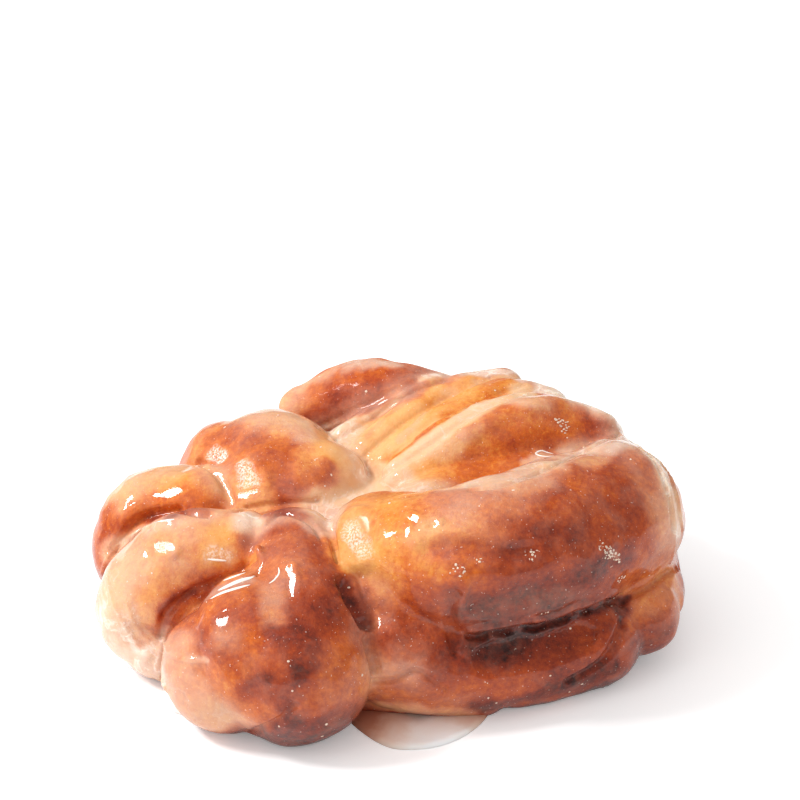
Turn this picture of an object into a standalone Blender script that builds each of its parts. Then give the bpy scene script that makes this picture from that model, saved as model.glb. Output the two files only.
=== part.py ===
"""An apple fritter: knobs and folds of dough pressed round a low middle and fried as one piece.

The dough is modelled as rolls. Each roll is a tube of varying girth with round ends, laid along a
smooth line. The rolls, a flat core and a thin spill of glaze are fused by a voxel remesh, made
slightly lumpy, smoothed, thinned out to few triangles and cut level underneath, which leaves one
closed solid that lies on its own flat base.

Metres, +Z up. The origin is under the middle of the fritter's box, on the surface it lies on.
"""

import math

import bmesh
import bpy
from mathutils import Matrix, Vector

MM = 0.001

# Driving dimensions, in millimetres.
CORE_CENTRE = (0.0, 0.5, 15.5)
CORE_RADII = (46.0, 40.0, 17.0)
BASE_HEIGHT = 1.5  # the rounded underside is flat below this
POOL_CENTRE = (6.0, -35.0, BASE_HEIGHT)  # glaze that has run off the dough and set before it
POOL_RADII = (15.0, 12.5, 2.2)
LUMP_DEPTH = 1.8  # from the hollows to the tops of the dough's slow unevenness
LUMP_WIDTH = 11.0

# How finely the shapes are made and joined, in millimetres and in counts.
STATION_STEP = 1.5
ROLL_SIDES = 40
CAP_STEPS = 8
CAP_END_GIRTH = 0.03  # girth at the pole of a cap, as a share of the roll's
WELD = 0.01
CORE_SEGMENTS = 64
CORE_RINGS = 32
VOXEL = 1.0
SMOOTH_FACTOR = 0.5
SMOOTH_STEPS = 6
TRIANGLES = 9000

# The dough's colour and its shine under the glaze.
DOUGH_COLOUR = (0.55, 0.22, 0.08, 1.0)
DOUGH_ROUGHNESS = 0.3

# Each roll: its stations along the middle line, as (x, y, z, girth radius) in millimetres.
LEFT_KNOBS = {
    "front_knob": [(-19, -15.5, 28.5, 9.5), (-17, -27, 23, 13.5), (-18.5, -37, 16, 16.5)],
    "front_knob_side": [(-24.5, -34, 16.5, 17.5), (-31.5, -35.5, 15, 15)],
    "left_finger": [
        (-33.5, -13.5, 26.5, 8.5),
        (-45, -13, 23, 12),
        (-49, -13.5, 15.5, 11.5),
        (-45, -18.5, 9.5, 9.5),
    ],
    "left_knob": [(-39, 7, 26.5, 9.5), (-49, 9.5, 21.5, 12), (-52.5, 7, 16.5, 11.5)],
    "back_left_knob": [(-33.5, 24, 24.5, 13.5), (-24.5, 20, 26.5, 15.5), (-14.5, 11, 29.5, 10.5)],
    "curl": [(-24, -14, 35.5, 2.5), (-20, -14, 36.5, 3), (-16, -15.5, 35.5, 2.5)],
}
TOP_FOLDS = {
    "back_roll": [(-19, 42, 32.5, 6), (-5, 41, 35.5, 9.5), (9, 35.5, 35.5, 9)],
    "ridge_bed": [(-2, 27.5, 28.5, 8), (11.5, 33, 32.5, 9.5), (27, 33, 33.5, 9.5)],
    "strand_back": [(-9, 25.5, 32.5, 4.5), (3, 36.5, 35.5, 5), (13.5, 38.5, 37.5, 4.5)],
    "strand_middle": [
        (-4, 19, 33.5, 5),
        (9, 30.5, 37, 5.5),
        (18, 36.5, 38.5, 5.5),
        (25.5, 39.5, 38.5, 5),
    ],
    "strand_front": [
        (1, 14, 32.5, 5),
        (13.5, 23.5, 36.5, 6.5),
        (24.5, 31.5, 38, 6.5),
        (35, 33.5, 36.5, 6),
    ],
    "brown_ridge": [(3.5, 7.5, 32.5, 5.5), (15.5, 14.5, 35, 9), (30, 21, 36, 10), (43, 23, 33, 9)],
    "ridge_tail": [(46.5, 18.5, 31.5, 7.5), (51, 10, 30, 8)],
}
RIGHT_BLOCK = {
    "upper_fold": [
        (-0.5, -17.5, 30.5, 12),
        (13.5, -23.5, 31.5, 15),
        (29, -18, 31.5, 16),
        (46, -2.5, 29.5, 16),
    ],
    "lower_fold": [(10.5, -28, 13.5, 11.5), (27, -23.5, 11.5, 11), (42, -18.5, 10.5, 10.5)],
    "front_foot": [(2.5, -28.5, 14.5, 13), (5, -21, 20.5, 13)],
    "pale_lump": [(0.5, -24.5, 18.5, 11.5), (6.5, -29.5, 13.5, 12.5)],
    "yellow_lump": [(-3, -15, 31.5, 9), (-2.5, -20.5, 29.5, 9)],
    "orange_lump": [(3.5, -24.5, 25.5, 11), (16.5, -22.5, 26.5, 11)],
    "low_lobe": [(52, -12.5, 12.5, 9), (49, -11, 14.5, 9)],
    "low_lobe_end": [(57.5, -7.5, 12.5, 5), (55, -7.5, 15.5, 6.5)],
}
BACK_AND_SIDE = {
    "back_foot_left": [(-36.5, 23.5, 13, 12), (-21.5, 36.5, 13.5, 13)],
    "back_foot_middle": [(-9.5, 39.5, 15, 14), (14.5, 40.5, 15.5, 14.5)],
    "back_foot_right": [(27.5, 34.5, 15, 14), (44.5, 18.5, 15.5, 14.5)],
    "right_side": [(50.5, 8.5, 13.5, 12), (51.5, -3.5, 12.5, 11)],
}
ROLLS = LEFT_KNOBS | TOP_FOLDS | RIGHT_BLOCK | BACK_AND_SIDE


def catmull_rom(a, b, c, d, t):
    """The point at t, from 0 to 1, between b and c on the smooth line through all four."""
    return 0.5 * (
        2 * b
        + (c - a) * t
        + (2 * a - 5 * b + 4 * c - d) * t**2
        + (3 * b - a - 3 * c + d) * t**3
    )


def smooth_line(stations):
    """(point, girth radius) pairs at close steps along a roll, in millimetres."""
    knots = [Vector(s) for s in stations]
    knots = [2 * knots[0] - knots[1], *knots, 2 * knots[-1] - knots[-2]]
    line = []
    for i in range(1, len(knots) - 2):
        span = (knots[i + 1].xyz - knots[i].xyz).length
        count = max(2, round(span / STATION_STEP))
        for k in range(count):
            line.append(catmull_rom(*knots[i - 1 : i + 3], k / count))
    line.append(knots[-2])
    return [(p.xyz, p.w) for p in line]


def round_cap(end, inner):
    """The stations of a half ball that closes a roll beyond its last station."""
    (point, girth), (before, _) = end, inner
    outward = (point - before).normalized()
    angles = [0.5 * math.pi * k / CAP_STEPS for k in range(1, CAP_STEPS + 1)]
    return [
        (point + outward * girth * math.sin(a), girth * max(math.cos(a), CAP_END_GIRTH))
        for a in angles
    ]


def evaluated_mesh(obj):
    """The object's mesh with its bevel or modifiers applied."""
    bpy.context.view_layer.update()
    graph = bpy.context.evaluated_depsgraph_get()
    return bpy.data.meshes.new_from_object(obj.evaluated_get(graph))


def roll_mesh(name, stations):
    """A roll as a mesh: a poly curve with a round bevel. Its two caps are still loose."""
    line = smooth_line(stations)
    line = round_cap(line[0], line[1])[::-1] + line + round_cap(line[-1], line[-2])
    curve = bpy.data.curves.new(name, "CURVE")
    curve.dimensions = "3D"
    curve.bevel_depth = MM
    curve.bevel_resolution = ROLL_SIDES // 4 - 1
    curve.use_fill_caps = True
    spline = curve.splines.new("POLY")
    spline.points.add(len(line) - 1)
    for point, (place, girth) in zip(spline.points, line):
        point.co = (*(place * MM), 1)
        point.radius = girth
    obj = bpy.data.objects.new(name, curve)
    bpy.context.scene.collection.objects.link(obj)
    mesh = evaluated_mesh(obj)
    bpy.data.objects.remove(obj)
    return mesh


def loose_shapes():
    """The rolls, the core and the spill of glaze in one mesh, as closed shells that overlap."""
    bm = bmesh.new()
    for name, stations in ROLLS.items():
        bm.from_mesh(roll_mesh(name, stations))
    bmesh.ops.remove_doubles(bm, verts=bm.verts, dist=WELD * MM)
    for centre, radii in ((CORE_CENTRE, CORE_RADII), (POOL_CENTRE, POOL_RADII)):
        size = Matrix.Diagonal((*(Vector(radii) * MM), 1))
        place = Matrix.Translation(Vector(centre) * MM) @ size
        bmesh.ops.create_uvsphere(
            bm, u_segments=CORE_SEGMENTS, v_segments=CORE_RINGS, radius=1, matrix=place
        )
    bmesh.ops.recalc_face_normals(bm, faces=bm.faces)
    mesh = bpy.data.meshes.new("loose_shapes")
    bm.to_mesh(mesh)
    bm.free()
    return mesh


def fuse(obj):
    """Joins the overlapping shells into one lumpy, smooth skin of few triangles."""
    remesh = obj.modifiers.new("fuse", "REMESH")
    remesh.mode = "VOXEL"
    remesh.voxel_size = VOXEL * MM
    clouds = bpy.data.textures.new("slow_lumps", "CLOUDS")
    clouds.noise_scale = LUMP_WIDTH * MM
    lumps = obj.modifiers.new("slow_lumps", "DISPLACE")
    lumps.texture = clouds
    lumps.strength = LUMP_DEPTH * MM
    smooth = obj.modifiers.new("round_creases", "SMOOTH")
    smooth.factor = SMOOTH_FACTOR
    smooth.iterations = SMOOTH_STEPS
    triangles = 2 * len(evaluated_mesh(obj).polygons)
    thin = obj.modifiers.new("few_triangles", "DECIMATE")
    thin.ratio = min(1.0, TRIANGLES / triangles)
    mesh = evaluated_mesh(obj)
    obj.modifiers.clear()
    obj.data = mesh


def cut_base(obj):
    """Cuts the underside level and closes it with a flat face."""
    bm = bmesh.new()
    bm.from_mesh(obj.data)
    everything = bm.verts[:] + bm.edges[:] + bm.faces[:]
    floor = (0, 0, BASE_HEIGHT * MM)
    bmesh.ops.bisect_plane(bm, geom=everything, plane_co=floor, plane_no=(0, 0, 1), clear_inner=True)
    rim = [edge for edge in bm.edges if edge.is_boundary]
    bmesh.ops.holes_fill(bm, edges=rim)
    bmesh.ops.triangulate(bm, faces=bm.faces)
    bm.to_mesh(obj.data)
    bm.free()


def stand_on_origin(obj):
    """Moves the mesh so that the middle of its box is over the origin, with its base at zero."""
    points = [vertex.co for vertex in obj.data.vertices]
    low = Vector([min(p[axis] for p in points) for axis in range(3)])
    high = Vector([max(p[axis] for p in points) for axis in range(3)])
    middle = (low + high) / 2
    obj.data.transform(Matrix.Translation((-middle.x, -middle.y, -low.z)))


def dough_material():
    material = bpy.data.materials.new("fried_dough")
    material.use_nodes = True
    shader = material.node_tree.nodes["Principled BSDF"]
    shader.inputs["Base Color"].default_value = DOUGH_COLOUR
    shader.inputs["Roughness"].default_value = DOUGH_ROUGHNESS
    shader.inputs["Metallic"].default_value = 0.0
    return material


def main():
    for obj in list(bpy.data.objects):
        bpy.data.objects.remove(obj)
    collection = bpy.data.collections.new("apple_fritter")
    bpy.context.scene.collection.children.link(collection)
    fritter = bpy.data.objects.new("fritter", loose_shapes())
    collection.objects.link(fritter)
    fuse(fritter)
    cut_base(fritter)
    stand_on_origin(fritter)
    fritter.data.shade_smooth()
    fritter.data.materials.append(dough_material())


main()
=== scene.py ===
# %% [markdown]
# # A glazed apple fritter
#
# A fritter is one lump of dough. Ropes and knobs of it are pressed together round a low middle,
# fried until the crowns are golden and the undersides dark, and dipped in thin sugar glaze while
# still hot. The glaze stays clear on the crowns, turns milky where it gathers in the folds, and
# what is left runs down and sets in a small spill beside the dough.
#
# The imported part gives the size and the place. This script makes the skin that is seen: a fine
# mesh of the same rolls, its creases and glaze, its colours, and the small things on it.

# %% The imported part
import math

import bpy
import numpy as np
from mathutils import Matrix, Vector, noise
from mathutils.bvhtree import BVHTree


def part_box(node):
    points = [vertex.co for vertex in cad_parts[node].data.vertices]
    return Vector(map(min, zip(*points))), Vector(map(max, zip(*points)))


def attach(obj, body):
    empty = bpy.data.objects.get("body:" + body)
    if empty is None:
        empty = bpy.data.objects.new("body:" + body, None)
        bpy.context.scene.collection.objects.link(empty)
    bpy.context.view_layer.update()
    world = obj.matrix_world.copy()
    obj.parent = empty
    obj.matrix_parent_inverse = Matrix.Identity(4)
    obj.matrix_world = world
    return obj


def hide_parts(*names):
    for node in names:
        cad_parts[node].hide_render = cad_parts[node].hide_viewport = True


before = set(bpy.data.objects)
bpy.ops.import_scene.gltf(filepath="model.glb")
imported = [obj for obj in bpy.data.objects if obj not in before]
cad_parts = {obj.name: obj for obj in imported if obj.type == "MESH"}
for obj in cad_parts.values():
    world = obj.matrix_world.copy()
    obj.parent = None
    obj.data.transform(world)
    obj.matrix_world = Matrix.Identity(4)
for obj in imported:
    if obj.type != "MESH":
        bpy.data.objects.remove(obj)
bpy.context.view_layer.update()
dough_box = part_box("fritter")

MM = 0.001
print("packed part:", [round((high - low) / MM, 1) for low, high in zip(*dough_box)], "mm")

# %% [markdown]
# ## Camera
#
# The camera comes first, because the folds, colours and highlights below are placed by where they
# show in the picture. A spot of the picture is turned into a line of sight, and the place is
# where that line meets the dough, so every mark lies on the surface itself, seen from any side.

# %% Camera
PICTURE = 800  # pixels along each side
LENS = 100.0
SENSOR = 36.0
FOCAL = LENS / SENSOR * PICTURE  # focal length in pixels
PIXELS_PER_MM = 4.75
ELEVATION = math.radians(30)
AIM = Vector((0.64, -4.24, 19.9)) * MM  # a point in the middle of the dough
AIM_SPOT = (389, 553)  # where that point shows

scene = bpy.context.scene
camera = bpy.data.objects.new("camera", bpy.data.cameras.new("camera"))
scene.collection.objects.link(camera)
scene.camera = camera
camera.data.lens = LENS
camera.data.sensor_width = SENSOR
camera.data.clip_start = 0.01

distance = FOCAL / PIXELS_PER_MM * MM
towards = Vector((0, -math.cos(ELEVATION), math.sin(ELEVATION)))
aside = Vector(((PICTURE / 2 - AIM_SPOT[0]) / PIXELS_PER_MM * MM, 0, 0))
pitch = ELEVATION - math.atan((AIM_SPOT[1] - PICTURE / 2) / FOCAL)
camera.location = AIM + distance * towards + aside
camera.rotation_euler = (math.pi / 2 - pitch, 0, 0)
bpy.context.view_layer.update()


def sight_line(spot):
    """The direction in which the camera sees a spot of the picture."""
    across = (spot[0] - PICTURE / 2) / FOCAL
    down = (spot[1] - PICTURE / 2) / FOCAL
    return (camera.matrix_world.to_3x3() @ Vector((across, -down, -1))).normalized()


print("camera:", [round(v, 3) for v in camera.location], "pitch", round(math.degrees(pitch), 1))

# %% [markdown]
# ## Node trees written from top to bottom
#
# Geometry and shader trees are both made of nodes and links. `put` adds one node and wires its
# inputs, so that a tree reads as a list of steps. A value that is a node or a socket is linked,
# and anything else is typed into the socket.


# %% Helpers for nodes
def pick(sockets, key):
    """The socket with this name, or at this place among those that are in use."""
    shown = [socket for socket in sockets if socket.enabled]
    if isinstance(key, int):
        return shown[key]
    return next(socket for socket in shown if socket.name == key)


def put(tree, kind, inputs=None, **settings):
    """Adds a node, sets its properties and fills or links its inputs."""
    node = tree.nodes.new(kind)
    for name, value in settings.items():
        setattr(node, name, value)
    for key, value in (inputs or {}).items():
        socket = pick(node.inputs, key)
        if isinstance(value, bpy.types.Node):
            value = pick(value.outputs, 0)
        if isinstance(value, bpy.types.NodeSocket):
            tree.links.new(value, socket)
        else:
            socket.default_value = value
    return node


def math_node(tree, operation, *values, **settings):
    """A Math node on these values."""
    return put(tree, "ShaderNodeMath", dict(enumerate(values)), operation=operation, **settings)


def vector_node(tree, operation, *values):
    """A Vector Math node on these values."""
    return put(tree, "ShaderNodeVectorMath", dict(enumerate(values)), operation=operation)


def map_range(tree, value, low, high, to_low=0.0, to_high=1.0):
    """A Map Range node that turns low into to_low and high into to_high."""
    ends = {"From Min": low, "From Max": high, "To Min": to_low, "To Max": to_high}
    return put(tree, "ShaderNodeMapRange", {"Value": value, **ends})


print("node helpers:", [helper.__name__ for helper in (put, math_node, vector_node, map_range)])

# %% [markdown]
# ## Geometry trees
#
# A tree is made with named inputs, put on an object as a modifier, and filled in by the inputs'
# identifiers, which is how Blender stores them. Then what it makes is turned into the object's own
# plain mesh, and the modifier goes. Two steps come back in several trees, so they are functions:
# a circle swept along splines, and points pushed out along their normals.


# %% Helpers for geometry trees
def geometry_tree(name, sockets):
    """An empty geometry tree with these named inputs: (name, socket type, value)."""
    tree = bpy.data.node_groups.new(name, "GeometryNodeTree")
    tree.interface.new_socket("Geometry", in_out="INPUT", socket_type="NodeSocketGeometry")
    for label, kind, value in sockets:
        socket = tree.interface.new_socket(label, in_out="INPUT", socket_type="NodeSocket" + kind)
        if value is not None:
            socket.default_value = value
    tree.interface.new_socket("Geometry", in_out="OUTPUT", socket_type="NodeSocketGeometry")
    return tree, tree.nodes.new("NodeGroupInput")


def finish_tree(tree, geometry, finish=None):
    """Wires the result to the output, and for a new piece makes instances real and sets a finish."""
    if finish is not None:
        geometry = put(tree, "GeometryNodeRealizeInstances", {"Geometry": geometry})
        inputs = {"Geometry": geometry, "Material": finish}
        geometry = put(tree, "GeometryNodeSetMaterial", inputs)
    put(tree, "NodeGroupOutput", {"Geometry": geometry})
    return tree


def object_shape(tree, socket):
    """The geometry of the object that this input names."""
    return put(tree, "GeometryNodeObjectInfo", {"Object": socket}).outputs["Geometry"]


def sweep_circle(tree, splines, sides):
    """Sweeps a circle along splines, as thick as each point's radius says."""
    circle = put(tree, "GeometryNodeCurvePrimitiveCircle", {"Resolution": sides, "Radius": MM})
    inputs = {
        "Curve": splines,
        "Profile Curve": circle.outputs["Curve"],
        "Scale": put(tree, "GeometryNodeInputRadius"),
        "Fill Caps": True,
    }
    return put(tree, "GeometryNodeCurveToMesh", inputs)


def push_out(tree, geometry, rise):
    """Moves each point along its own normal."""
    normal = put(tree, "GeometryNodeInputNormal")
    offset = put(tree, "ShaderNodeVectorMath", {0: normal, "Scale": rise}, operation="SCALE")
    return put(tree, "GeometryNodeSetPosition", {"Geometry": geometry, "Offset": offset})


def add_tree(obj, tree, **values):
    """Puts the tree on the object as a modifier and sets its inputs by their identifiers."""
    modifier = obj.modifiers.new(tree.name, "NODES")
    modifier.node_group = tree
    for item in tree.interface.items_tree:
        key = item.name.lower().replace(" ", "_")
        if item.in_out == "INPUT" and key in values:
            modifier[item.identifier] = values[key]


def apply_modifiers(obj):
    """Turns what the modifiers give into the object's own plain mesh."""
    bpy.context.view_layer.update()
    graph = bpy.context.evaluated_depsgraph_get()
    mesh = bpy.data.meshes.new_from_object(obj.evaluated_get(graph))
    obj.modifiers.clear()
    obj.data = mesh


def new_object(name, data):
    """An object with this data, in the scene."""
    obj = bpy.data.objects.new(name, data)
    scene.collection.objects.link(obj)
    return obj


def in_metres(values):
    """Millimetres as metres."""
    return [value * MM for value in values]


print("tree helpers:", [helper.__name__ for helper in (sweep_circle, push_out, add_tree)])

# %% [markdown]
# ## The rolls of dough
#
# On the real thing a baker lays ropes of dough side by side and squeezes them. So each knob or
# fold is a roll here too: a line of stations, each with a place and a girth, and smooth between
# them. Only the larger forms are rolls, because smaller ones are easier to press in later.

# %% Stations of the rolls, as (x, y, z, girth radius) in millimetres
ROLLS = {
    # Knobs on the left.
    "front_knob": [(-19, -15.5, 28.5, 9.5), (-17, -27, 23, 13.5), (-18.5, -36.5, 15.5, 16.3)],
    "front_knob_side": [(-22, -33.5, 16.5, 16.5), (-27, -34.5, 16, 16.4), (-31, -34.5, 14, 13.6)],
    "left_finger": [
        (-31, -13.5, 27, 9.5),
        (-39, -13.5, 25, 11.5),
        (-45, -14, 20.5, 12),
        (-49, -14.5, 14.5, 11.5),
        (-45.5, -17.8, 10.5, 9.2),
    ],
    "left_knob": [(-39, 7, 26.5, 9.5), (-49, 9.5, 21.5, 12), (-52.5, 7, 16.5, 11.5)],
    "back_left_knob": [(-33.5, 24, 24.5, 13.5), (-24.5, 20, 26.5, 15.5), (-14.5, 11, 29.5, 10.5)],
    "back_left_bulge": [(-23, 12, 20.5, 19.5), (-20, 12, 21, 19)],
    "curl": [(-24, -14, 34.5, 2.5), (-20, -14, 35, 3), (-16, -15.5, 34.5, 2.5)],
    # Folds along the top.
    "back_roll": [(-19, 42, 32.5, 6), (-5, 41, 35.5, 9.5), (9, 35.5, 35.5, 9)],
    "ridge_bed": [(-2, 27.5, 28.5, 8), (11.5, 33, 32.5, 9.5), (27, 33, 33.5, 9.5)],
    "strand_back": [(-9, 25.5, 32.5, 4.5), (3, 36.5, 35.5, 5), (13.5, 38.5, 37.5, 4.5)],
    "strand_middle": [
        (-4, 19, 33.5, 5),
        (9, 30.5, 37, 5.5),
        (18, 36.5, 38.5, 5.5),
        (25.5, 39.5, 38.5, 5),
    ],
    "strand_front": [
        (1, 14, 32.5, 5),
        (13.5, 23.5, 36.5, 6.5),
        (24.5, 31.5, 38, 6.5),
        (35, 33.5, 36.5, 6),
    ],
    "brown_ridge": [(3.5, 7.5, 32.5, 5.5), (15.5, 14.5, 35, 9), (30, 21, 36, 10), (43, 23, 33, 9)],
    "ridge_tail": [(46.5, 18.5, 31.5, 7.5), (51, 10, 30, 8)],
    "ridge_channel": [(4, -3, 30.5, 6), (16, 4, 31.5, 6.5), (30, 7, 32, 7), (42, 9, 31, 7)],
    # The large block on the right.
    "upper_fold": [
        (-0.5, -17.5, 30.5, 12),
        (13.5, -23.5, 31.5, 15),
        (29, -18, 31.5, 16),
        (46, -2.5, 29.5, 16),
    ],
    "lower_fold": [(10.5, -28.8, 12.8, 12), (27, -24.3, 11, 11.3), (42, -18.8, 10.3, 10.5)],
    "front_foot": [(2.5, -28.5, 14.5, 13), (5, -21, 20.5, 13)],
    "front_lip": [
        (-5, -28.6, 5.5, 6), (3, -29.6, 5.5, 6.4), (12, -30.4, 5.5, 6.2), (19, -29.8, 5.5, 6),
    ],
    "pale_lump": [(0.5, -24.5, 18.5, 11.5), (6.5, -29.5, 13.5, 12.5)],
    "yellow_lump": [(-3, -15, 31.5, 9), (-2.5, -20.5, 29.5, 9)],
    "orange_lump": [(3.5, -24.5, 25.5, 11), (16.5, -22.5, 26.5, 11)],
    "low_lobe": [(52, -12.5, 12.5, 9), (49, -11, 14.5, 9)],
    "low_lobe_end": [(57.5, -7.5, 12.5, 5), (55, -7.5, 15.5, 6.5)],
    # The back and the right side.
    "back_foot_left": [(-36.5, 23.5, 13, 12), (-21.5, 36.5, 13.5, 13)],
    "back_foot_middle": [(-9.5, 39.5, 15, 14), (14.5, 40.5, 15.5, 14.5)],
    "back_foot_right": [(27.5, 34.5, 15, 14), (44.5, 18.5, 15.5, 14.5)],
    "right_side": [(50.5, 8.5, 13.5, 12), (51.5, -3.5, 12.5, 11)],
}
print(len(ROLLS), "rolls with", sum(map(len, ROLLS.values())), "stations")

# %% [markdown]
# ## From stations to splines
#
# A Catmull-Rom line passes through every station, so a station is where the dough is. A poly
# spline holds the line, its point radius holds the girth, and half a ball closes each end. A
# geometry tree then sweeps a circle along it. The sweep could also be a curve's own bevel, but the
# tree adds the core in the same step and leaves a mesh that a Remesh modifier can take.

# %% Splines and the tree that sweeps them
STATION_STEP = 1.5
CAP_STEPS = 8
CAP_END_GIRTH = 0.03  # as a share of the roll's own, so that the tip isn't a point
CORE_CENTRE = (0.0, 0.5, 15.5)
CORE_RADII = (46.0, 40.0, 17.0)
CORE_SEGMENTS = 96


def catmull_rom(a, b, c, d, t):
    """The point at t, from 0 to 1, between b and c on the smooth line through all four."""
    return 0.5 * (
        2 * b
        + (c - a) * t
        + (2 * a - 5 * b + 4 * c - d) * t**2
        + (3 * b - a - 3 * c + d) * t**3
    )


def smooth_line(knots, step):
    """Points at close steps on the smooth line through these knots."""
    knots = [np.array(knot, float) for knot in knots]
    knots = [2 * knots[0] - knots[1], *knots, 2 * knots[-1] - knots[-2]]
    line = []
    for i in range(1, len(knots) - 2):
        span = np.linalg.norm(knots[i + 1][:3] - knots[i][:3])
        count = max(2, round(span / step))
        for k in range(count):
            line.append(catmull_rom(*knots[i - 1 : i + 3], k / count))
    return line + [knots[-2]]


def round_cap(end, inner):
    """Stations of a half ball that closes a roll beyond its last station."""
    outward = (end[:3] - inner[:3]) / np.linalg.norm(end[:3] - inner[:3])
    cap = []
    for k in range(1, CAP_STEPS + 1):
        angle = 0.5 * math.pi * k / CAP_STEPS
        girth = end[3] * max(math.cos(angle), CAP_END_GIRTH)
        cap.append(np.append(end[:3] + outward * end[3] * math.sin(angle), girth))
    return cap


def add_spline(curve, stations):
    """Adds a poly spline through these (x, y, z, girth) in millimetres."""
    spline = curve.splines.new("POLY")
    spline.points.add(len(stations) - 1)
    for point, (x, y, z, girth) in zip(spline.points, stations):
        point.co = (x * MM, y * MM, z * MM, 1)
        point.radius = girth


def curve_object(name, lines):
    """One curve object with a spline for each line of stations."""
    curve = bpy.data.curves.new(name, "CURVE")
    curve.dimensions = "3D"
    for line in lines:
        add_spline(curve, line)
    return new_object(name, curve)


def capped(stations):
    """The smooth line of a roll with both its ends rounded off."""
    line = smooth_line(stations, STATION_STEP)
    return round_cap(line[0], line[1])[::-1] + line + round_cap(line[-1], line[-2])


def tree_lay_rolls():
    """Sweeps a circle along every spline of an object and adds the core."""
    sockets = [
        ("Rolls", "Object", None),
        ("Sides", "Int", 48),
        ("Core Centre", "Vector", (0, 0, 0)),
        ("Core Radii", "Vector", (1, 1, 1)),
    ]
    tree, given = geometry_tree("lay_rolls", sockets)
    splines = object_shape(tree, given.outputs["Rolls"])
    swept = sweep_circle(tree, splines, given.outputs["Sides"])
    rings = {"Segments": CORE_SEGMENTS, "Rings": CORE_SEGMENTS // 2, "Radius": 1.0}
    placed = {
        "Geometry": put(tree, "GeometryNodeMeshUVSphere", rings).outputs["Mesh"],
        "Translation": given.outputs["Core Centre"],
        "Scale": given.outputs["Core Radii"],
    }
    core = put(tree, "GeometryNodeTransform", placed)
    joined = tree.nodes.new("GeometryNodeJoinGeometry")
    for part in (swept, core):
        tree.links.new(part.outputs[0], joined.inputs[0])
    return finish_tree(tree, joined)


dough = new_object("dough", bpy.data.meshes.new("dough"))
rolls = curve_object("rolls", [capped(stations) for stations in ROLLS.values()])
core = {"core_centre": in_metres(CORE_CENTRE), "core_radii": in_metres(CORE_RADII)}
add_tree(dough, tree_lay_rolls(), rolls=rolls, sides=64, **core)
print("splines:", len(rolls.data.splines))

# %% [markdown]
# ## One skin over all the rolls
#
# The rolls overlap, so they have to become one skin. A Boolean union would keep a hard edge along
# every meeting line. A voxel remesh also joins them, and a little smoothing afterwards rounds the
# meeting lines into the soft creases that dough has. A cloud texture pushes the skin in and out
# by a millimetre or so, because dough is never evenly thick.

# %% Fuse the rolls into the dough
VOXEL = 0.5
SMOOTH_STEPS = 12
LUMP_DEPTH = 1.8
LUMP_WIDTH = 11.0
BASE_HEIGHT = 1.5  # the underside is flat below this

remesh = dough.modifiers.new("one_skin", "REMESH")
remesh.mode = "VOXEL"
remesh.voxel_size = VOXEL * MM
clouds = bpy.data.textures.new("slow_lumps", "CLOUDS")
clouds.noise_scale = LUMP_WIDTH * MM
lumps = dough.modifiers.new("slow_lumps", "DISPLACE")
lumps.texture = clouds
lumps.strength = LUMP_DEPTH * MM
smooth = dough.modifiers.new("soft_creases", "SMOOTH")
smooth.factor = 0.5
smooth.iterations = SMOOTH_STEPS
apply_modifiers(dough)
bpy.data.objects.remove(rolls)


def vectors_of(mesh, name):
    """The places ("co") or the normals ("normal") of the mesh's points as an array."""
    values = np.empty(len(mesh.vertices) * 3)
    mesh.vertices.foreach_get(name, values)
    return values.reshape(-1, 3)


def set_points(mesh, points):
    """Moves the mesh's points to these places."""
    mesh.vertices.foreach_set("co", points.ravel())
    mesh.update()


def set_down(obj, box):
    """Flattens the underside and moves the skin so that its box stands on that of the part."""
    points = vectors_of(obj.data, "co")
    points[:, 2] = np.maximum(points[:, 2], BASE_HEIGHT * MM)
    low, high = np.array(box)
    middle = (points.min(axis=0) + points.max(axis=0)) / 2
    points[:, :2] += ((low + high) / 2 - middle)[:2]
    points[:, 2] -= BASE_HEIGHT * MM
    set_points(obj.data, points)


set_down(dough, dough_box)
print("dough:", len(dough.data.polygons), "faces")

# %% [markdown]
# ## Glaze settles in the folds
#
# Wet glaze runs off a crown and gathers in a crease, where it makes a small round fillet. A
# geometry tree finds that out from the shape alone. It blurs the points' places over the skin:
# in a hollow the blurred place lies above the skin, on a crown below it. The height between the
# two, where positive, says how deep the hollow is. A share of it is filled, and the height is
# kept as an attribute for the colours.


# %% A tree that fills hollows
def tree_settle_glaze():
    """Stores how deep each point lies in a hollow, and fills a share of that depth."""
    sockets = [
        ("Spread", "Int", 60),
        ("Filled Share", "Float", 0.5),
        ("Attribute", "String", "hollow"),
    ]
    tree, given = geometry_tree("settle_glaze", sockets)
    place = put(tree, "GeometryNodeInputPosition")
    blur = {"Value": place, "Iterations": given.outputs["Spread"]}
    blurred = put(tree, "GeometryNodeBlurAttribute", blur, data_type="FLOAT_VECTOR")
    rise = vector_node(tree, "SUBTRACT", blurred, place)
    normal = put(tree, "GeometryNodeInputNormal")
    height = pick(vector_node(tree, "DOT_PRODUCT", rise, normal).outputs, "Value")
    stored = {
        "Geometry": given.outputs["Geometry"],
        "Name": given.outputs["Attribute"],
        "Value": math_node(tree, "DIVIDE", height, MM),
    }
    kept = put(tree, "GeometryNodeStoreNamedAttribute", stored)
    hollow = math_node(tree, "MAXIMUM", height, 0.0)
    fill = math_node(tree, "MULTIPLY", hollow, given.outputs["Filled Share"])
    return finish_tree(tree, push_out(tree, kept, fill))


def values_of(mesh, name):
    """A point attribute as an array."""
    values = np.empty(len(mesh.vertices))
    mesh.attributes[name].data.foreach_get("value", values)
    return values


def set_values(mesh, name, values):
    """Writes an array as a new point attribute."""
    mesh.attributes.new(name, "FLOAT", "POINT").data.foreach_set("value", values)


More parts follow.
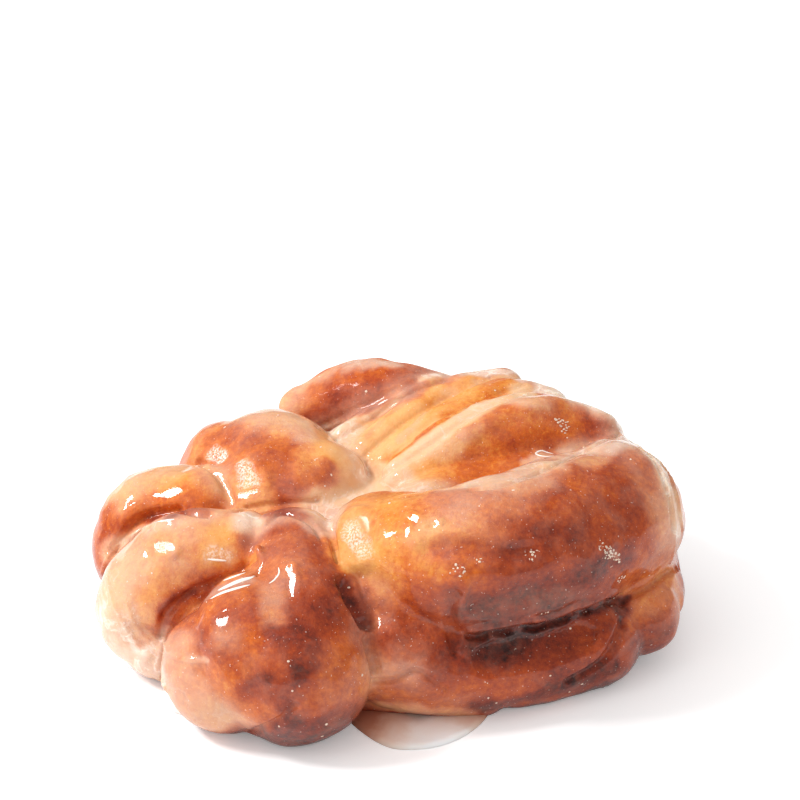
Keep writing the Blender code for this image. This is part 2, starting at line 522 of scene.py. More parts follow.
settle = tree_settle_glaze()
add_tree(dough, settle, spread=260, filled_share=0.0, attribute="valley")
add_tree(dough, settle, spread=30, filled_share=0.3, attribute="hollow")
apply_modifiers(dough)

for name in ("valley", "hollow"):
    found = values_of(dough.data, name)
    print(name, "from", round(found.min(), 2), "to", round(found.max(), 2), "mm")

# %% [markdown]
# ## Cracks, folds and drips
#
# Smaller forms follow lines on the dough: the crack where two layers part, a fold pressed into a
# side, ridges of glaze that set as they ran. Each is a route: a few spots of the picture, the
# half width of the mark, and how far it rises or, below zero, sinks.

# %% Routes on the dough, as (half width, rise) in millimetres and spots of the picture
PRESSED = {
    # Where the knobs on the left meet.
    "cleft_top": ((1.2, -1), [(331, 528), (334, 545), (338, 560)]),
    "cleft": ((3, -2.4), [(347, 586), (352, 598), (358, 610), (364, 622)]),
    "cleft_foot": ((1.6, -1), [(366, 640), (370, 655), (374, 668)]),
    "finger_crease": (
        (1.4, -0.8),
        [(160, 636), (165, 618), (176, 604), (192, 591), (215, 581), (240, 569), (256, 557)],
    ),
    "finger_crack": ((0.8, -0.9), [(163, 616), (172, 605), (183, 597), (196, 589)]),
    "left_crease": ((1.8, -1.5), [(112, 552), (128, 529), (150, 515), (178, 511), (208, 514)]),
    "back_left_crease": ((1.6, -1.2), [(199, 462), (213, 470), (224, 484), (231, 503)]),
    "back_left_foot": ((1.2, -0.8), [(236, 511), (262, 506), (290, 503), (318, 501)]),
    "curl_line": ((1, -0.8), [(268, 522), (280, 514), (296, 516), (312, 524), (322, 540)]),
    "knob_fold": ((1.4, -0.9), [(246, 737), (262, 728), (280, 720), (294, 706)]),
    # Between the strands on top.
    "roll_line": ((1.4, -0.3), [(318, 428), (345, 415), (370, 404), (395, 391), (418, 381)]),
    "strand_line_a": ((1, -0.4), [(338, 440), (368, 422), (396, 402), (424, 388), (446, 380)]),
    "strand_line_b": ((1, -0.4), [(366, 455), (398, 428), (428, 408), (460, 392), (492, 378)]),
    "strand_line_c": ((0.9, -0.35), [(384, 462), (420, 436), (456, 414), (490, 397), (524, 385)]),
    "ridge_line": ((1.4, -0.5), [(380, 476), (418, 453), (452, 429), (486, 407), (520, 394)]),
    "channel_crack": (
        (0.8, -0.7),
        [(470, 490), (495, 487), (522, 479), (548, 469), (575, 455), (600, 443), (620, 434)],
    ),
    # The block on the right.
    "block_crack": (
        (1, -1.1),
        [(468, 636), (480, 637), (492, 632), (506, 632), (520, 627), (536, 628), (550, 623)],
    ),
    "block_crack_right": (
        (1, -1.1),
        [(550, 623), (563, 620), (574, 614), (588, 611), (600, 603), (612, 602), (620, 597)],
    ),
    "crack_recess": ((6, -1.8), [(488, 652), (515, 645), (545, 640), (580, 630)]),
    "side_crack": ((1.1, -1), [(620, 604), (634, 594), (647, 588), (662, 577), (684, 564)]),
    "mauve_hollow": ((5.5, -1.3), [(478, 600), (510, 600), (545, 592), (575, 582)]),
    "block_fold": ((3, -0.9), [(428, 549), (455, 545), (480, 548), (505, 553), (530, 550)]),
    "mauve_edge": ((2, -1), [(456, 596), (450, 612), (452, 630), (456, 650)]),
    "lobe_edge": ((1.8, -1.2), [(624, 622), (616, 642), (604, 660), (588, 672), (568, 682)]),
    "lobe_dent": ((2.5, -0.8), [(650, 608), (656, 612)]),
    "right_line_a": ((0.9, -0.45), [(634, 440), (655, 462), (668, 492), (674, 530)]),
    "right_line_b": ((0.8, -0.4), [(648, 444), (664, 465), (676, 495), (682, 530)]),
    "foot_line": ((1.2, -0.7), [(372, 682), (395, 680), (412, 672), (426, 676), (445, 690)]),
}
RAISED = {
    # Crowns of the strands.
    "crown_a": ((2.2, 0.3), [(340, 428), (372, 412), (402, 394), (428, 382)]),
    "crown_b": ((2.2, 0.3), [(358, 444), (386, 424), (412, 406), (442, 390), (468, 380)]),
    "crown_c": ((2.2, 0.3), [(378, 454), (410, 430), (442, 410), (474, 394), (508, 380)]),
    "crown_d": ((2, 0.25), [(396, 452), (430, 430), (464, 410), (496, 396)]),
    "ridge_crest": ((3.5, 0.8), [(470, 432), (505, 412), (545, 402), (585, 408), (610, 420)]),
    # The lip over the crack.
    "crack_lip": (
        (1.3, 0.7),
        [(470, 629), (486, 627), (504, 624), (522, 620), (540, 619), (556, 615), (572, 608)],
    ),
    "crack_lip_right": ((1.3, 0.6), [(572, 608), (588, 603), (602, 597), (616, 592)]),
    # Edges where glaze ran off and set.
    "knob_line": ((1, 0.4), [(166, 630), (165, 645), (172, 654), (186, 660), (204, 662)]),
    "finger_line_a": ((0.9, 0.3), [(121, 630), (132, 640), (145, 650), (156, 656)]),
    "finger_line_b": ((0.8, 0.25), [(127, 604), (133, 620), (141, 634), (148, 640)]),
    "finger_line_c": ((0.8, 0.25), [(108, 580), (113, 602), (122, 622), (134, 642)]),
    "knob_foot": ((1.2, 0.5), [(161, 648), (158, 668), (162, 690)]),
    "finger_edge": ((0.9, 0.4), [(102, 574), (109, 556), (124, 541), (148, 527), (178, 519)]),
    "side_line_a": ((0.8, 0.25), [(640, 444), (657, 464), (669, 492), (675, 530), (672, 560)]),
    "side_line_b": ((0.8, 0.25), [(652, 448), (667, 468), (678, 498), (683, 530)]),
}
print(len(PRESSED), "routes to press in and", len(RAISED), "to raise")

# %% [markdown]
# ## Routes laid on the skin
#
# A helper mesh holds loose points along all routes, each with its width and rise. A second tree
# reads it: every point of the skin looks for the nearest route point and moves along its own
# normal by a smooth share of that rise. Sculpting by hand would do the same, but a route can be
# moved later by changing a number.

# %% Press and raise the routes
ROUTE_STEP = 0.4
MOST_STEPS_IN = 40  # how many pixels a spot beside the dough may be drawn in


def skin_of(obj):
    """The skin of an object as it now is, for lines of sight to meet."""
    return BVHTree.FromObject(obj, bpy.context.evaluated_depsgraph_get())


def place_on_dough(spot):
    """Where the line of sight through a spot meets the dough, and the normal there.

    A spot just outside the outline is drawn in towards the middle until it meets the dough.
    """
    spot, middle = np.array(spot, float), np.array(AIM_SPOT, float)
    inward = (middle - spot) / np.linalg.norm(middle - spot)
    for _ in range(MOST_STEPS_IN):
        place, normal, _, _ = skin_tree.ray_cast(camera.location, sight_line(spot))
        if place is not None:
            return place, normal
        spot = spot + inward
    raise ValueError(f"no dough near the spot {spot}")


def route_on_dough(spots):
    """Places on the dough at close steps along a route, in metres."""
    if len(spots) == 1:
        return [np.array(place_on_dough(spots[0])[0])]
    line = smooth_line([(x, y, 0) for x, y in spots], ROUTE_STEP * PIXELS_PER_MM)
    return [np.array(place_on_dough((x, y))[0]) for x, y, _ in line]


def route_mesh(routes):
    """A helper object of loose points along all routes, with their width and rise."""
    places, widths, rises = [], [], []
    for (width, rise), spots in routes.values():
        line = route_on_dough(spots)
        places += line
        widths += [width * MM] * len(line)
        rises += [rise * MM] * len(line)
    mesh = bpy.data.meshes.new("routes")
    mesh.from_pydata(places, [], [])
    set_values(mesh, "width", widths)
    set_values(mesh, "rise", rises)
    return new_object("routes", mesh)


def tree_press_routes():
    """Moves each point of the skin by what the nearest route point asks for."""
    tree, given = geometry_tree("press_routes", [("Routes", "Object", None)])
    routes = object_shape(tree, given.outputs["Routes"])
    place = put(tree, "GeometryNodeInputPosition")
    nearest = put(tree, "GeometryNodeSampleNearest", {"Geometry": routes})

    def at_nearest(field, kind="FLOAT"):
        inputs = {"Geometry": routes, "Value": field, "Index": nearest}
        return put(tree, "GeometryNodeSampleIndex", inputs, data_type=kind)

    def named(name):
        return put(tree, "GeometryNodeInputNamedAttribute", {"Name": name}, data_type="FLOAT")

    centre = at_nearest(place, "FLOAT_VECTOR")
    gap = pick(vector_node(tree, "DISTANCE", centre, place).outputs, "Value")
    share = math_node(tree, "DIVIDE", gap, at_nearest(named("width")), use_clamp=True)
    inside = math_node(tree, "SUBTRACT", 1.0, math_node(tree, "MULTIPLY", share, share))
    profile = math_node(tree, "MULTIPLY", inside, inside)
    rise = math_node(tree, "MULTIPLY", profile, at_nearest(named("rise")))
    return finish_tree(tree, push_out(tree, given.outputs["Geometry"], rise))


press = tree_press_routes()
for marks in (PRESSED, RAISED):
    skin_tree = skin_of(dough)
    routes = route_mesh(marks)
    add_tree(dough, press, routes=routes)
    apply_modifiers(dough)
    print("route points:", len(routes.data.vertices))
    bpy.data.objects.remove(routes)

# %% [markdown]
# ## A skin that isn't quite smooth
#
# Set glaze keeps faint ripples, which break up every reflection, and fried dough is slightly
# blistered. Both are too coarse for a bump map alone, because they show at the outline. Two
# octaves of noise move the points along their normals by a tenth or two of a millimetre.

# %% Ripples
RIPPLES = ((7.0, 0.22), (2.6, 0.06))  # width and depth in millimetres
SEED_SHIFT = (13.7, 7.1, 3.3)  # how far apart the noises of two seeds are read
FLOOR_GAP = 0.02  # in mm; skin below this lies on the floor and stays flat


def noise_field(points, width, seed):
    """Smooth noise, from about -1 to 1, at each point, with features of this width."""
    shift = Vector([seed * way for way in SEED_SHIFT])
    return np.array([noise.noise(Vector(p) / (width * MM) + shift) for p in points])


points = vectors_of(dough.data, "co")
normals = vectors_of(dough.data, "normal")
on_floor = points[:, 2] < FLOOR_GAP * MM
for seed, (width, depth) in enumerate(RIPPLES):
    height = noise_field(points, width, seed) * depth * MM
    height[on_floor] = 0
    points += normals * height[:, None]
points[:, 2] = np.maximum(points[:, 2], 0)
set_points(dough.data, points)
print("rippled by", [depth for _, depth in RIPPLES], "mm")

# %% [markdown]
# ## Lenses of glaze
#
# Here and there the glaze has set as a small level lens, and each mirrors the whole window as one
# crisp white patch. A bump would give a smaller highlight than plain dough, because it is more
# curved, so a lens is a place where the skin is made flat. It is turned half way between the
# light and the eye. Inside its level radius the skin lies in that plane, and from there to its
# reach it bends back to the dough.

# %% Level the lenses, as (level radius, reach in mm, share) and spots of the picture
KEY_AZIMUTH = -88
KEY_ELEVATION = 46
KEY_REACH = 0.8
LENSES = {
    "knob": ((0.9, 2, 0.95), [(221, 623), (227, 620)]),
    "neck": ((1, 1.9, 0.95), [(291, 567), (293, 580), (293, 593)]),
    "neck_drop": ((0.6, 1.1, 0.95), [(261, 551), (262, 563), (257, 574)]),
    "finger": ((1, 2.2, 1), [(159, 547), (172, 550)]),
    "finger_small": ((0.6, 1.5, 1), [(145, 555)]),
    "left_knob": ((0.65, 1.4, 0.9), [(169, 496), (172, 493)]),
    "left_knob_small": ((0.5, 1.1, 0.9), [(128, 509), (134, 504)]),
    "curved": ((0.7, 1.3, 0.95), [(207, 468), (218, 475), (226, 488), (232, 504)]),
    "block": ((0.9, 1.7, 0.95), [(411, 516), (418, 520), (419, 526)]),
    "block_small": ((0.8, 1.5, 0.95), [(434, 524), (438, 522)]),
    "orange": ((0.6, 1.2, 0.9), [(454, 572), (461, 569)]),
    "golden_end": ((3.2, 5.6, 0.8), [(353, 524), (358, 550)]),
    "back_left": ((2.6, 4.6, 0.7), [(246, 471), (254, 482)]),
    "back_left_small": ((1.4, 2.8, 0.6), [(213, 451), (221, 457)]),
}


def direction_from(azimuth, elevation):
    """The direction to something at this azimuth from the front and this elevation."""
    a, e = math.radians(azimuth), math.radians(elevation)
    return Vector((math.sin(a) * math.cos(e), -math.cos(a) * math.cos(e), math.sin(e)))


def mirroring_normal(place):
    """The normal with which glaze at this place mirrors the key light into the camera."""
    to_light = AIM + direction_from(KEY_AZIMUTH, KEY_ELEVATION) * KEY_REACH - Vector(place)
    to_camera = camera.location - Vector(place)
    return np.array((to_light.normalized() + to_camera.normalized()).normalized())


def distance_to_route(points, line):
    """How far each point is from the nearest place of a route."""
    nearest = np.full(len(points), np.inf)
    for place in line:
        nearest = np.minimum(nearest, ((points - place) ** 2).sum(axis=1))
    return np.sqrt(nearest)


def level_lenses(mesh, lenses):
    """Pulls the skin round each lens towards the plane that mirrors the light."""
    points = vectors_of(mesh, "co")
    for (core, reach, share), spots in lenses.values():
        line = route_on_dough(spots)
        middle = line[len(line) // 2]
        normal = mirroring_normal(middle)
        gap = distance_to_route(points, line) / MM
        near = gap < reach
        fall = np.clip((gap[near] - core) / (reach - core), 0, 1)
        weight = share * (1 - fall**2 * (3 - 2 * fall))
        pull = weight * ((points[near] - middle) @ normal)
        points[near] -= pull[:, None] * normal
    set_points(mesh, points)


skin_tree = skin_of(dough)
level_lenses(dough.data, LENSES)
print("levelled", len(LENSES), "lenses of glaze")

# %% [markdown]
# ## Fewer triangles
#
# Decimate brings the mesh under 200,000 triangles. It takes away points where the skin is nearly
# flat, so the underside is left with few, and the creases and the rims of the lenses keep theirs.

# %% Thin out the mesh
MOST_TRIANGLES = 192_000

thin = dough.modifiers.new("fewer_triangles", "DECIMATE")
thin.ratio = MOST_TRIANGLES / (2 * len(dough.data.polygons))
apply_modifiers(dough)
dough.data.shade_smooth()
print("dough:", len(dough.data.polygons), "triangles, attributes", dough.data.attributes.keys())

# %% [markdown]
# ## How brown, how milky, how dry
#
# Three numbers say how the surface looks at a point. `fry_and_shade` is how long the crust met the
# oil, from 0, pale gold, to 1, almost black; some strokes also raise it to paint shade into creases,
# the cleft, the recess under the crack and the edges by the floor. `milk` is how thick the white
# glaze lies. `dry` marks where the glaze is so thin that the grain of the crust breaks the
# shine, and above a half it also paints a white sheen on that grain. A rule for the whole lump can't
# give what one fritter has of its own, so strokes do. The first ones are on the folds along the
# top, which are pale in the valleys, where glaze gathers, and brown on the crests.

# %% Strokes on top, as (radius in mm, fry_and_shade, milk, dry) and spots of the picture
STROKES = {
    # Back roll.
    "roll_tip": ((5, 0.32, 0.42, 0.5), [(288, 402), (300, 397)]),
    "roll_gold": ((3, 0.3, 0.08, 0.5), [(304, 400), (316, 393)]),
    "roll_rim": ((1.6, 0.34, 0.56, 0.2), [(298, 391), (314, 381), (330, 373)]),
    "roll_body": ((7, 0.54, 0, 0.5), [(322, 385), (355, 377), (390, 375)]),
    "roll_end": ((5, 0.68, 0.34, 0.4), [(415, 378), (432, 378)]),
    "roll_under": ((3.5, 0.74, 0, 0.3), [(310, 416), (330, 408), (352, 398), (372, 392)]),
    "roll_valley": ((3.5, 0.54, 0.38, 0), [(322, 424), (352, 410), (385, 394), (412, 384)]),
    "roll_valley_end": ((2.6, 0, 0.88, 0), [(322, 424), (334, 425)]),
    "roll_top": ((1.8, 0.5, 0.64, 0.3), [(345, 366), (372, 362), (395, 365)]),
    "roll_end_brown": ((2.5, 0.68, 0.02, 0.4), [(400, 376), (410, 378)]),
    # Strands.
    "strands": ((9, 0.1, 0.14, 0.3), [(370, 440), (420, 415), (465, 392)]),
    "strand_gold": ((5, 0.32, 0, 0.3), [(440, 405), (470, 392), (500, 382)]),
    "strand_gold_low": ((2.4, 0.36, 0, 0.2), [(455, 412), (470, 405), (485, 398)]),
    "strand_low": ((6, 0, 0.2, 0.3), [(372, 462), (384, 448)]),
    "strand_rim": (
        (1.3, 0.4, 0.82, 0.2),
        [(430, 377), (447, 376), (480, 371), (506, 372), (530, 374)],
    ),
    "strand_deep_a": ((1.6, 0.36, 0, 0.2), [(422, 434), (437, 424), (452, 413)]),
    "strand_deep_b": ((1.6, 0.36, 0, 0.2), [(390, 460), (400, 453), (412, 443)]),
    "strand_deep_c": ((1.4, 0.08, 0.12, 0.2), [(398, 420), (420, 403), (440, 392)]),
    "strand_line_a": (
        (0.8, 0.22, 0.62, 0),
        [(327, 428), (368, 413), (393, 394), (417, 381), (436, 378)],
    ),
    "strand_line_b": ((0.8, 0.28, 0.28, 0), [(363, 447), (394, 414), (424, 388), (452, 381)]),
    "strand_line_c": (
        (0.8, 0.18, 0.36, 0),
        [(400, 436), (428, 410), (456, 394), (490, 376), (526, 374)],
    ),
    "ridge_flank": (
        (2.6, 0, 0.58, 0),
        [(378, 474), (422, 447), (456, 422), (490, 402), (521, 392)],
    ),
    "ridge_flank_low": ((2, 0.2, 0.35, 0), [(440, 452), (452, 447)]),
    "ridge_flank_far": ((2.2, 0.25, 0.5, 0), [(505, 398), (525, 400), (545, 401)]),
    # Brown ridge.
    "ridge_low": ((6.5, 0.46, 0, 0.1), [(448, 478), (480, 470), (510, 456), (535, 442)]),
    "ridge_high": ((6, 0.46, 0.04, 0.1), [(520, 435), (550, 425), (580, 425)]),
    "ridge_dark": ((3.5, 0.4, 0.06, 0), [(478, 432), (500, 420), (524, 412), (556, 408)]),
    "ridge_end": ((4, 0.78, 0, 0), [(596, 422), (612, 432)]),
    "ridge_back": ((3, 0.28, 0.92, 0), [(552, 392), (585, 401), (612, 418), (640, 436)]),
    "ridge_tip": ((4, 0.16, 0.14, 0.1), [(420, 470), (437, 474)]),
    "channel_brown": ((2, 0.68, 0.08, 0), [(588, 438), (600, 437)]),
    "ridge_tail_brown": ((3, 0.8, 0, 0), [(596, 430), (608, 432)]),
    "ridge_flank_pale": ((1.6, 0.34, 0.42, 0), [(462, 437), (476, 428)]),
    "channel_end": ((2, 0.44, 0.8, 0), [(610, 449), (626, 442)]),
    "channel_pale": ((1.8, 0.3, 0.62, 0), [(528, 461), (545, 455)]),
    "ridge_valley": (
        (2.6, 0.34, 0.68, 0),
        [
            (395, 487), (440, 488), (480, 483), (500, 477), (520, 470), (540, 462), (560, 455),
            (580, 447), (618, 434),
        ],
    ),
    # Middle valley.
    "valley_left": ((3.2, 0.3, 0.28, 0), [(228, 514), (250, 508), (272, 502)]),
    "valley_middle": ((4, 0.02, 0.66, 0), [(300, 503), (330, 500), (352, 490)]),
    "valley_up": ((4.2, 0.24, 0.78, 0), [(352, 484), (352, 462), (345, 440), (330, 432)]),
    "valley_right": ((3.2, 0, 0.68, 0), [(345, 497), (375, 484), (400, 484)]),
    "valley_flat": ((3, 0.32, 0.7, 0), [(308, 512), (328, 510), (334, 525)]),
    "valley_light": ((3, 0.14, 0.84, 0), [(362, 479), (368, 466)]),
    "valley_pale": ((2.6, 0.06, 0.66, 0), [(318, 500), (334, 499)]),
    "valley_rise": ((2.6, 0.12, 0.54, 0), [(410, 487), (432, 486)]),
    "junction_pale": ((2.4, 0.26, 0.86, 0), [(243, 516), (256, 521)]),
    "junction_low": ((2, 0.32, 0.8, 0), [(246, 528), (256, 531)]),
    "curl_brown": ((1.8, 0.86, 0, 0), [(284, 511), (299, 513)]),
    "curl_tip": ((2.6, 0.75, 0.05, 0), [(272, 512), (288, 507), (302, 512)]),
    "curl_base": ((2.4, 0.56, 0.48, 0), [(270, 524), (292, 519), (308, 526)]),
}
print(len(STROKES), "strokes on top")

# %% [markdown]
# ## The large block
#
# The block on the right lay with its front in the oil. Its upper end is gold, the side turns red
# brown, and the layer under the crack is the darkest of all: painted shade darkens the recess below
# the lip, the crack and the lower edge.

# %% Strokes on the block
STROKES |= {
    # Right block, upper part.
    "gold_end": ((8, 0.26, 0.08, 0), [(356, 520), (356, 545), (366, 565)]),
    # Painted sheen: white on the grain of the gold end.
    "gold_shine": ((4, 0.2, 0.2, 1), [(354, 524), (358, 550)]),
    "gold_top": ((6, 0.28, 0, 0.1), [(395, 505), (412, 515)]),
    "block_milk": ((8, 0.52, 0.32, 0), [(452, 510), (485, 512), (510, 505)]),
    "block_milk_low": ((6, 0.18, 0.28, 0), [(425, 545), (455, 530), (480, 530)]),
    "block_milk_lower": ((2.8, 0.08, 0.36, 0), [(438, 535), (452, 536)]),
    "block_mid_red": ((3, 0.72, 0, 0), [(495, 524), (510, 527)]),
    "block_top_pale": ((2.6, 0.28, 0.36, 0), [(518, 486), (540, 481)]),
    "block_top_far": ((2.2, 0.28, 0.3, 0), [(584, 463), (600, 458)]),
    "block_brown": ((8, 0.58, 0, 0), [(530, 510), (560, 495), (590, 480), (620, 470)]),
    "block_right": ((9, 0.7, 0.04, 0), [(570, 530), (600, 510), (630, 500)]),
    "block_edge": ((6, 0.38, 0.44, 0), [(648, 470), (662, 500), (668, 540)]),
    "right_rim": ((1.8, 0.2, 0.8, 0), [(652, 455), (664, 474), (673, 500), (678, 530)]),
    "block_top_edge": ((2.4, 0.28, 0.68, 0), [(450, 489), (500, 481), (545, 466), (600, 446)]),
    "block_low_right": ((7, 0.56, 0, 0), [(640, 540), (655, 560)]),
    "side_brown": ((3.5, 0.74, 0.02, 0), [(645, 468), (650, 484)]),
    "fold_red": ((3.5, 0.8, 0, 0), [(440, 548), (475, 545), (505, 547), (530, 545)]),
    # Right block, front.
    "orange_lump": ((8, 0.36, 0, 0.1), [(405, 572), (435, 575), (470, 572)]),
    "orange_low": ((6, 0.66, 0, 0), [(405, 600), (432, 610), (440, 630)]),
    "orange_right": ((5, 0.72, 0.02, 0), [(490, 565), (510, 570), (525, 560)]),
    "pink_left": ((4, 0.26, 0.3, 0), [(370, 590), (378, 612)]),
    "pink_middle": ((3, 0.3, 0.12, 0), [(388, 580), (394, 590)]),
    "foot_shade": ((2.6, 0.64, 0.05, 0), [(388, 645), (400, 650)]),
    "wedge_right": ((2.8, 0.78, 0, 0), [(380, 612), (383, 632)]),
    "wedge_top": ((2, 0.12, 0.14, 0), [(342, 552), (352, 566)]),
    "mauve_a": ((7, 0.9, 0.02, 0), [(475, 605), (510, 600), (545, 590)]),
    "mauve_b": ((7, 0.86, 0.04, 0), [(500, 615), (550, 605), (590, 590)]),
    "mauve_c": ((6, 0.64, 0, 0), [(545, 560), (580, 565), (610, 575)]),
    "dark_patch": ((3.5, 0.98, 0, 0), [(580, 578), (600, 572)]),
    "dark_patch_b": ((3, 0.9, 0, 0), [(615, 560), (630, 556)]),
    "sugar_veil": ((1, 0.7, 0.3, 0), [(610, 549), (616, 553)]),
    "mauve_brown": ((3, 0.72, 0.02, 0), [(444, 598), (456, 602)]),
    "dark_fold": ((3, 0.86, 0.02, 0), [(552, 540), (570, 541)]),
    "crack_shade": ((1.4, 0.95, 0, 0), [(475, 634), (550, 624), (600, 605), (620, 600)]),
    "lip_line": (
        (0.5, 0.76, 0.08, 0),
        [(486, 628), (504, 625), (522, 620), (540, 621), (556, 616), (574, 608)],
    ),
    "mauve_veil": (
        (2.2, 0.86, 0.1, 0),
        [(462, 612), (490, 608), (520, 604), (550, 598), (575, 590)],
    ),
    # Right block, lower layer.
    # Painted shade in the recess under the crack.
    "low_recess_shade": ((6, 0.96, 0, 0), [(470, 650), (505, 642), (540, 642)]),
    "low_brown": ((6, 0.72, 0, 0), [(560, 645), (590, 632)]),
    "low_front": ((7, 0.58, 0, 0), [(450, 680), (500, 685), (560, 672)]),
    "low_left": ((6, 0.78, 0, 0), [(405, 650), (430, 660)]),
    "lobe": ((6, 0.4, 0.14, 0), [(640, 615), (660, 600), (672, 590)]),
    "lobe_low": ((5, 0.78, 0, 0), [(640, 645), (655, 632)]),
    "low_side_dark": ((4.5, 0.74, 0, 0), [(555, 677), (575, 670)]),
    # Painted shade in the crease beside the low lobe.
    "lobe_crease_shade": ((1.8, 0.96, 0, 0), [(617, 606), (624, 617)]),
    # Painted shade along the lower edge of the block, by the floor.
    "under_edge_shade": (
        (2, 0.92, 0, 0),
        [(470, 708), (507, 702), (545, 692), (568, 683), (587, 674), (605, 664)],
    ),
    "foot_milk": ((4.5, 0.44, 0.4, 0), [(372, 668), (392, 662), (412, 668)]),
    "foot_brown": ((3.5, 0.56, 0.08, 0), [(385, 695), (420, 695), (460, 700)]),
    "lip_foot": ((2, 0.34, 0.3, 0), [(378, 706), (400, 709), (430, 711), (460, 712)]),
    # Painted shade in the cleft between the front knob and the block, lighter at its foot.
    "cleft": ((2.8, 0.86, 0, 0), [(344, 580), (350, 592), (356, 604), (363, 620)]),
    "cleft_low": ((3, 0.64, 0.2, 0), [(362, 636), (368, 655)]),
}
print(len(STROKES), "strokes with those on the block")

# %% [markdown]
# ## The knobs
#
# The knobs on the left came out last and carry the most glaze. It is milky along their lower
# edges, where it ran to, and thin on the brown crowns.

